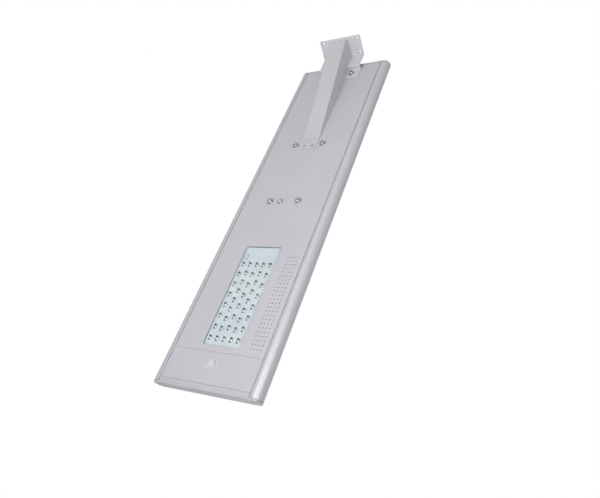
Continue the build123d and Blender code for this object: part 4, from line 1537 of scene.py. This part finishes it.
    def socket_bolt(self, centre: Vector, head_r: float, length: float) -> BMesh:
        """One bolt, its crown at the centre and its shank along Z.

        Args:
            centre: the crown's middle.
            head_r: the head's radius.
            length: from the crown to the thread's end.

        Returns:
            The bolt.
        """
        bm = bmesh.new()
        crown = rounding((head_r - self.head_edge, self.head_edge), self.head_edge, -90, 0, 6)
        lathe(bm, centre, [(self.socket_r, 0), *crown, (head_r, self.head_h),
                           (self.shank_r, self.head_h), (self.shank_r, length - self.shank_edge),
                           (self.shank_r - self.shank_edge, length), (0, length)],
              self.fixing_steps)
        rim = [e for e in bm.edges if len(e.link_faces) == 1]
        mouth = Matrix.Translation(centre + Vector((0, 0, self.socket_mouth)))
        hexagon = bmesh.ops.create_circle(bm, segments=6, radius=self.hexagon_r, matrix=mouth)
        sides = list(dict.fromkeys(e for v in hexagon["verts"] for e in v.link_edges))
        bmesh.ops.subdivide_edges(bm, edges=sides, cuts=self.hexagon_cuts)
        loop = [e for e in bm.edges if not e.link_faces]
        bridge(bm, [rim, loop])
        _, bottom = pull(bm, loop, (0, 0, self.socket_depth - self.socket_mouth))
        bmesh.ops.contextual_create(bm, geom=bottom)
        bmesh.ops.recalc_face_normals(bm, faces=bm.faces)
        return bm

    def washers(self) -> None:
        """Flat washers with rolled rims."""
        bm = bmesh.new()
        for low, high in self.shop.lamp.solids("bolt_washers"):
            outer = (high.x - low.x) / 2
            profile = [(self.washer_bore, high.z), (outer, high.z),
                       *soft_rim(outer, low.z, self.washer_edge, 4),
                       (self.washer_bore, low.z), (self.washer_bore, high.z)]
            lathe(bm, foot_of(low, high), profile, self.fixing_steps)
        self.shop.deliver(bm, "bracket_washers", "steel", ("bolt_washers",))

    def foot_screws(self) -> None:
        """Pan-head screws through the rib's foot."""
        bm = bmesh.new()
        turn = Matrix.Rotation(math.pi, 4, "X")
        for low, high in self.shop.lamp.solids("rib_foot_screws"):
            screw = PanScrew((high.x - low.x) / 2, self.screw_head, self.screw_shank,
                             high.z - low.z - self.screw_head).build()
            screw.transform(level((low + high) / 2, low.z + self.screw_head) @ turn)
            join(bm, screw)
        self.shop.deliver(bm, "rib_pan_screws", "steel", ("rib_foot_screws",))


# --- Studio -------------------------------------------------------------------------------
@dataclass(frozen=True)
class SoftLight:
    """A square soft light that faces the middle of the lamp."""

    name: str
    side: Triple                  # the direction from the middle in which it stands
    distance: float               # metres from the middle
    size: float                   # metres
    power: float                  # watts

    def build(self, middle: Vector) -> None:
        """Hang the light, out of the camera's sight.

        Args:
            middle: the middle of the lamp.
        """
        data = bpy.data.lights.new(self.name, "AREA")
        data.shape = "SQUARE"
        data.size = self.size
        data.energy = self.power
        light = bpy.data.objects.new(self.name, data)
        outward = Vector(self.side).normalized()
        light.location = middle + outward * self.distance
        light.rotation_mode = "QUATERNION"
        light.rotation_quaternion = (-outward).to_track_quat("-Z", "Y")
        light.visible_camera = False
        bpy.context.scene.collection.objects.link(light)


@dataclass
class Studio:
    """Camera, pale floor and soft lights."""

    camera_place: Triple = (1.9027, -1.0356, -0.3207)
    camera_aim: Triple = (0.4697, -0.0831, 0.4851)
    camera_roll: float = 164.026
    lens: float = 33.64
    shift: Point = (-0.0646, -0.0439)
    floor_z: float = -2.2
    floor_size: float = 9.0
    floor_middle: Point = (0.5, 0.0)
    floor_colour: Colour = (0.86, 0.86, 0.87)
    floor_lift: float = 0.42       # shown brighter than it lights, as the backdrop is
    world_light: float = 0.715
    world_colour: Colour = (0.97, 0.97, 1.0)
    flags: tuple[tuple[Triple, float], ...] = (  # darker sides of the world, and by how much
        ((-0.62, 0.77, 0.13), 0.9), ((-0.5, -0.85, -0.1), 0.4))
    flag_edge: float = 0.3         # how far round a flag reaches, as a cosine
    middle: Triple = (0.6, 0.0, 0.3)
    lights: tuple[SoftLight, ...] = (
        SoftLight("key", (0.62, 0.05, -0.75), 2.0, 0.9, 13.5),
        SoftLight("under", (0.0, 0.0, -1.0), 1.9, 1.2, 1.5),
        SoftLight("sky", (-0.1, 0.2, 1.0), 2.4, 1.6, 9.0),
        SoftLight("foot", (0.75, -0.75, -0.65), 1.243985, 0.4, 2.2),
    )

    def build(self) -> None:
        """Set up the whole studio."""
        bpy.context.scene.view_settings.view_transform = "Standard"
        self.camera()
        self.world()
        self.floor()
        for light in self.lights:
            light.build(Vector(self.middle))

    def camera(self) -> None:
        """The camera, below the lamp and level with its foot, rolled over."""
        data = bpy.data.cameras.new("camera")
        data.lens = self.lens
        data.shift_x, data.shift_y = self.shift
        camera = bpy.data.objects.new("camera", data)
        place, aim = Vector(self.camera_place), Vector(self.camera_aim)
        roll = Quaternion((0, 0, 1), math.radians(self.camera_roll))
        camera.rotation_mode = "QUATERNION"
        camera.rotation_quaternion = (aim - place).to_track_quat("-Z", "Y") @ roll
        camera.location = place
        bpy.context.scene.collection.objects.link(camera)
        bpy.context.scene.camera = camera

    def world(self) -> None:
        """A white backdrop that lights more gently than it shows."""
        world = bpy.data.worlds.new("studio")
        tree = Tree(world)
        shown = tree.add("ShaderNodeBackground")
        tree.feed(shown.inputs["Color"], (1.0, 1.0, 1.0))
        lit = tree.add("ShaderNodeBackground")
        tree.feed(lit.inputs["Color"], self.world_colour)
        direction = tree.add("ShaderNodeTexCoord").outputs["Generated"]
        strength = self.world_light
        for side, share in self.flags:
            facing = tree.add("ShaderNodeVectorMath")
            facing.operation = "DOT_PRODUCT"
            facing.inputs[1].default_value = Vector(side).normalized()
            tree.join(direction, facing.inputs[0])
            shade = tree.span(facing.outputs["Value"], self.flag_edge, 1.0, 1.0, 1.0 - share)
            shade.node.interpolation_type = "SMOOTHSTEP"
            strength = tree.math("MULTIPLY", strength, shade)
        tree.join(strength, lit.inputs["Strength"])
        mix = tree.add("ShaderNodeMixShader")
        tree.join(self.seen(tree), mix.inputs["Fac"])
        for index, background in ((1, lit), (2, shown)):
            tree.join(background.outputs["Background"], mix.inputs[index])
        tree.join(mix.outputs["Shader"], tree.add("ShaderNodeOutputWorld").inputs["Surface"])
        bpy.context.scene.world = world

    def seen(self, tree: Tree) -> Socket:
        """1 where the camera sees the studio itself, 0 where the studio lights the lamp."""
        return tree.add("ShaderNodeLightPath").outputs["Is Camera Ray"]

    def floor(self) -> None:
        """A plain pale floor, well below the lamp."""
        bm = bmesh.new()
        bmesh.ops.create_grid(bm, x_segments=1, y_segments=1, size=self.floor_size / 2,
                              matrix=Matrix.Translation((*self.floor_middle, self.floor_z)))
        floor = stand(bm, "floor")
        graph = Graph("floor_paint", Matrix())
        graph.set(
            Base_Color=self.floor_colour,
            Roughness=0.85,
            Emission_Color=(1.0, 1.0, 1.0),
            Emission_Strength=graph.math("MULTIPLY", self.seen(graph), self.floor_lift),
        )
        floor.data.materials.append(graph.material)


def main() -> None:
    """Build every sub-assembly around the frame, then the studio."""
    logging.basicConfig(level=logging.INFO, format="%(name)s: %(message)s")
    lamp = LampFrame(frame)
    shop = Workshop(lamp)
    shop.dress_nodes()
    for assembly in (SideRails(shop), EndCaps(shop), LensPlate(shop), MotionSensor(shop),
                     PowerSwitch(shop), PoleBracket(shop)):
        assembly.build()
    Studio().build()


if __name__ == "__main__":
    main()
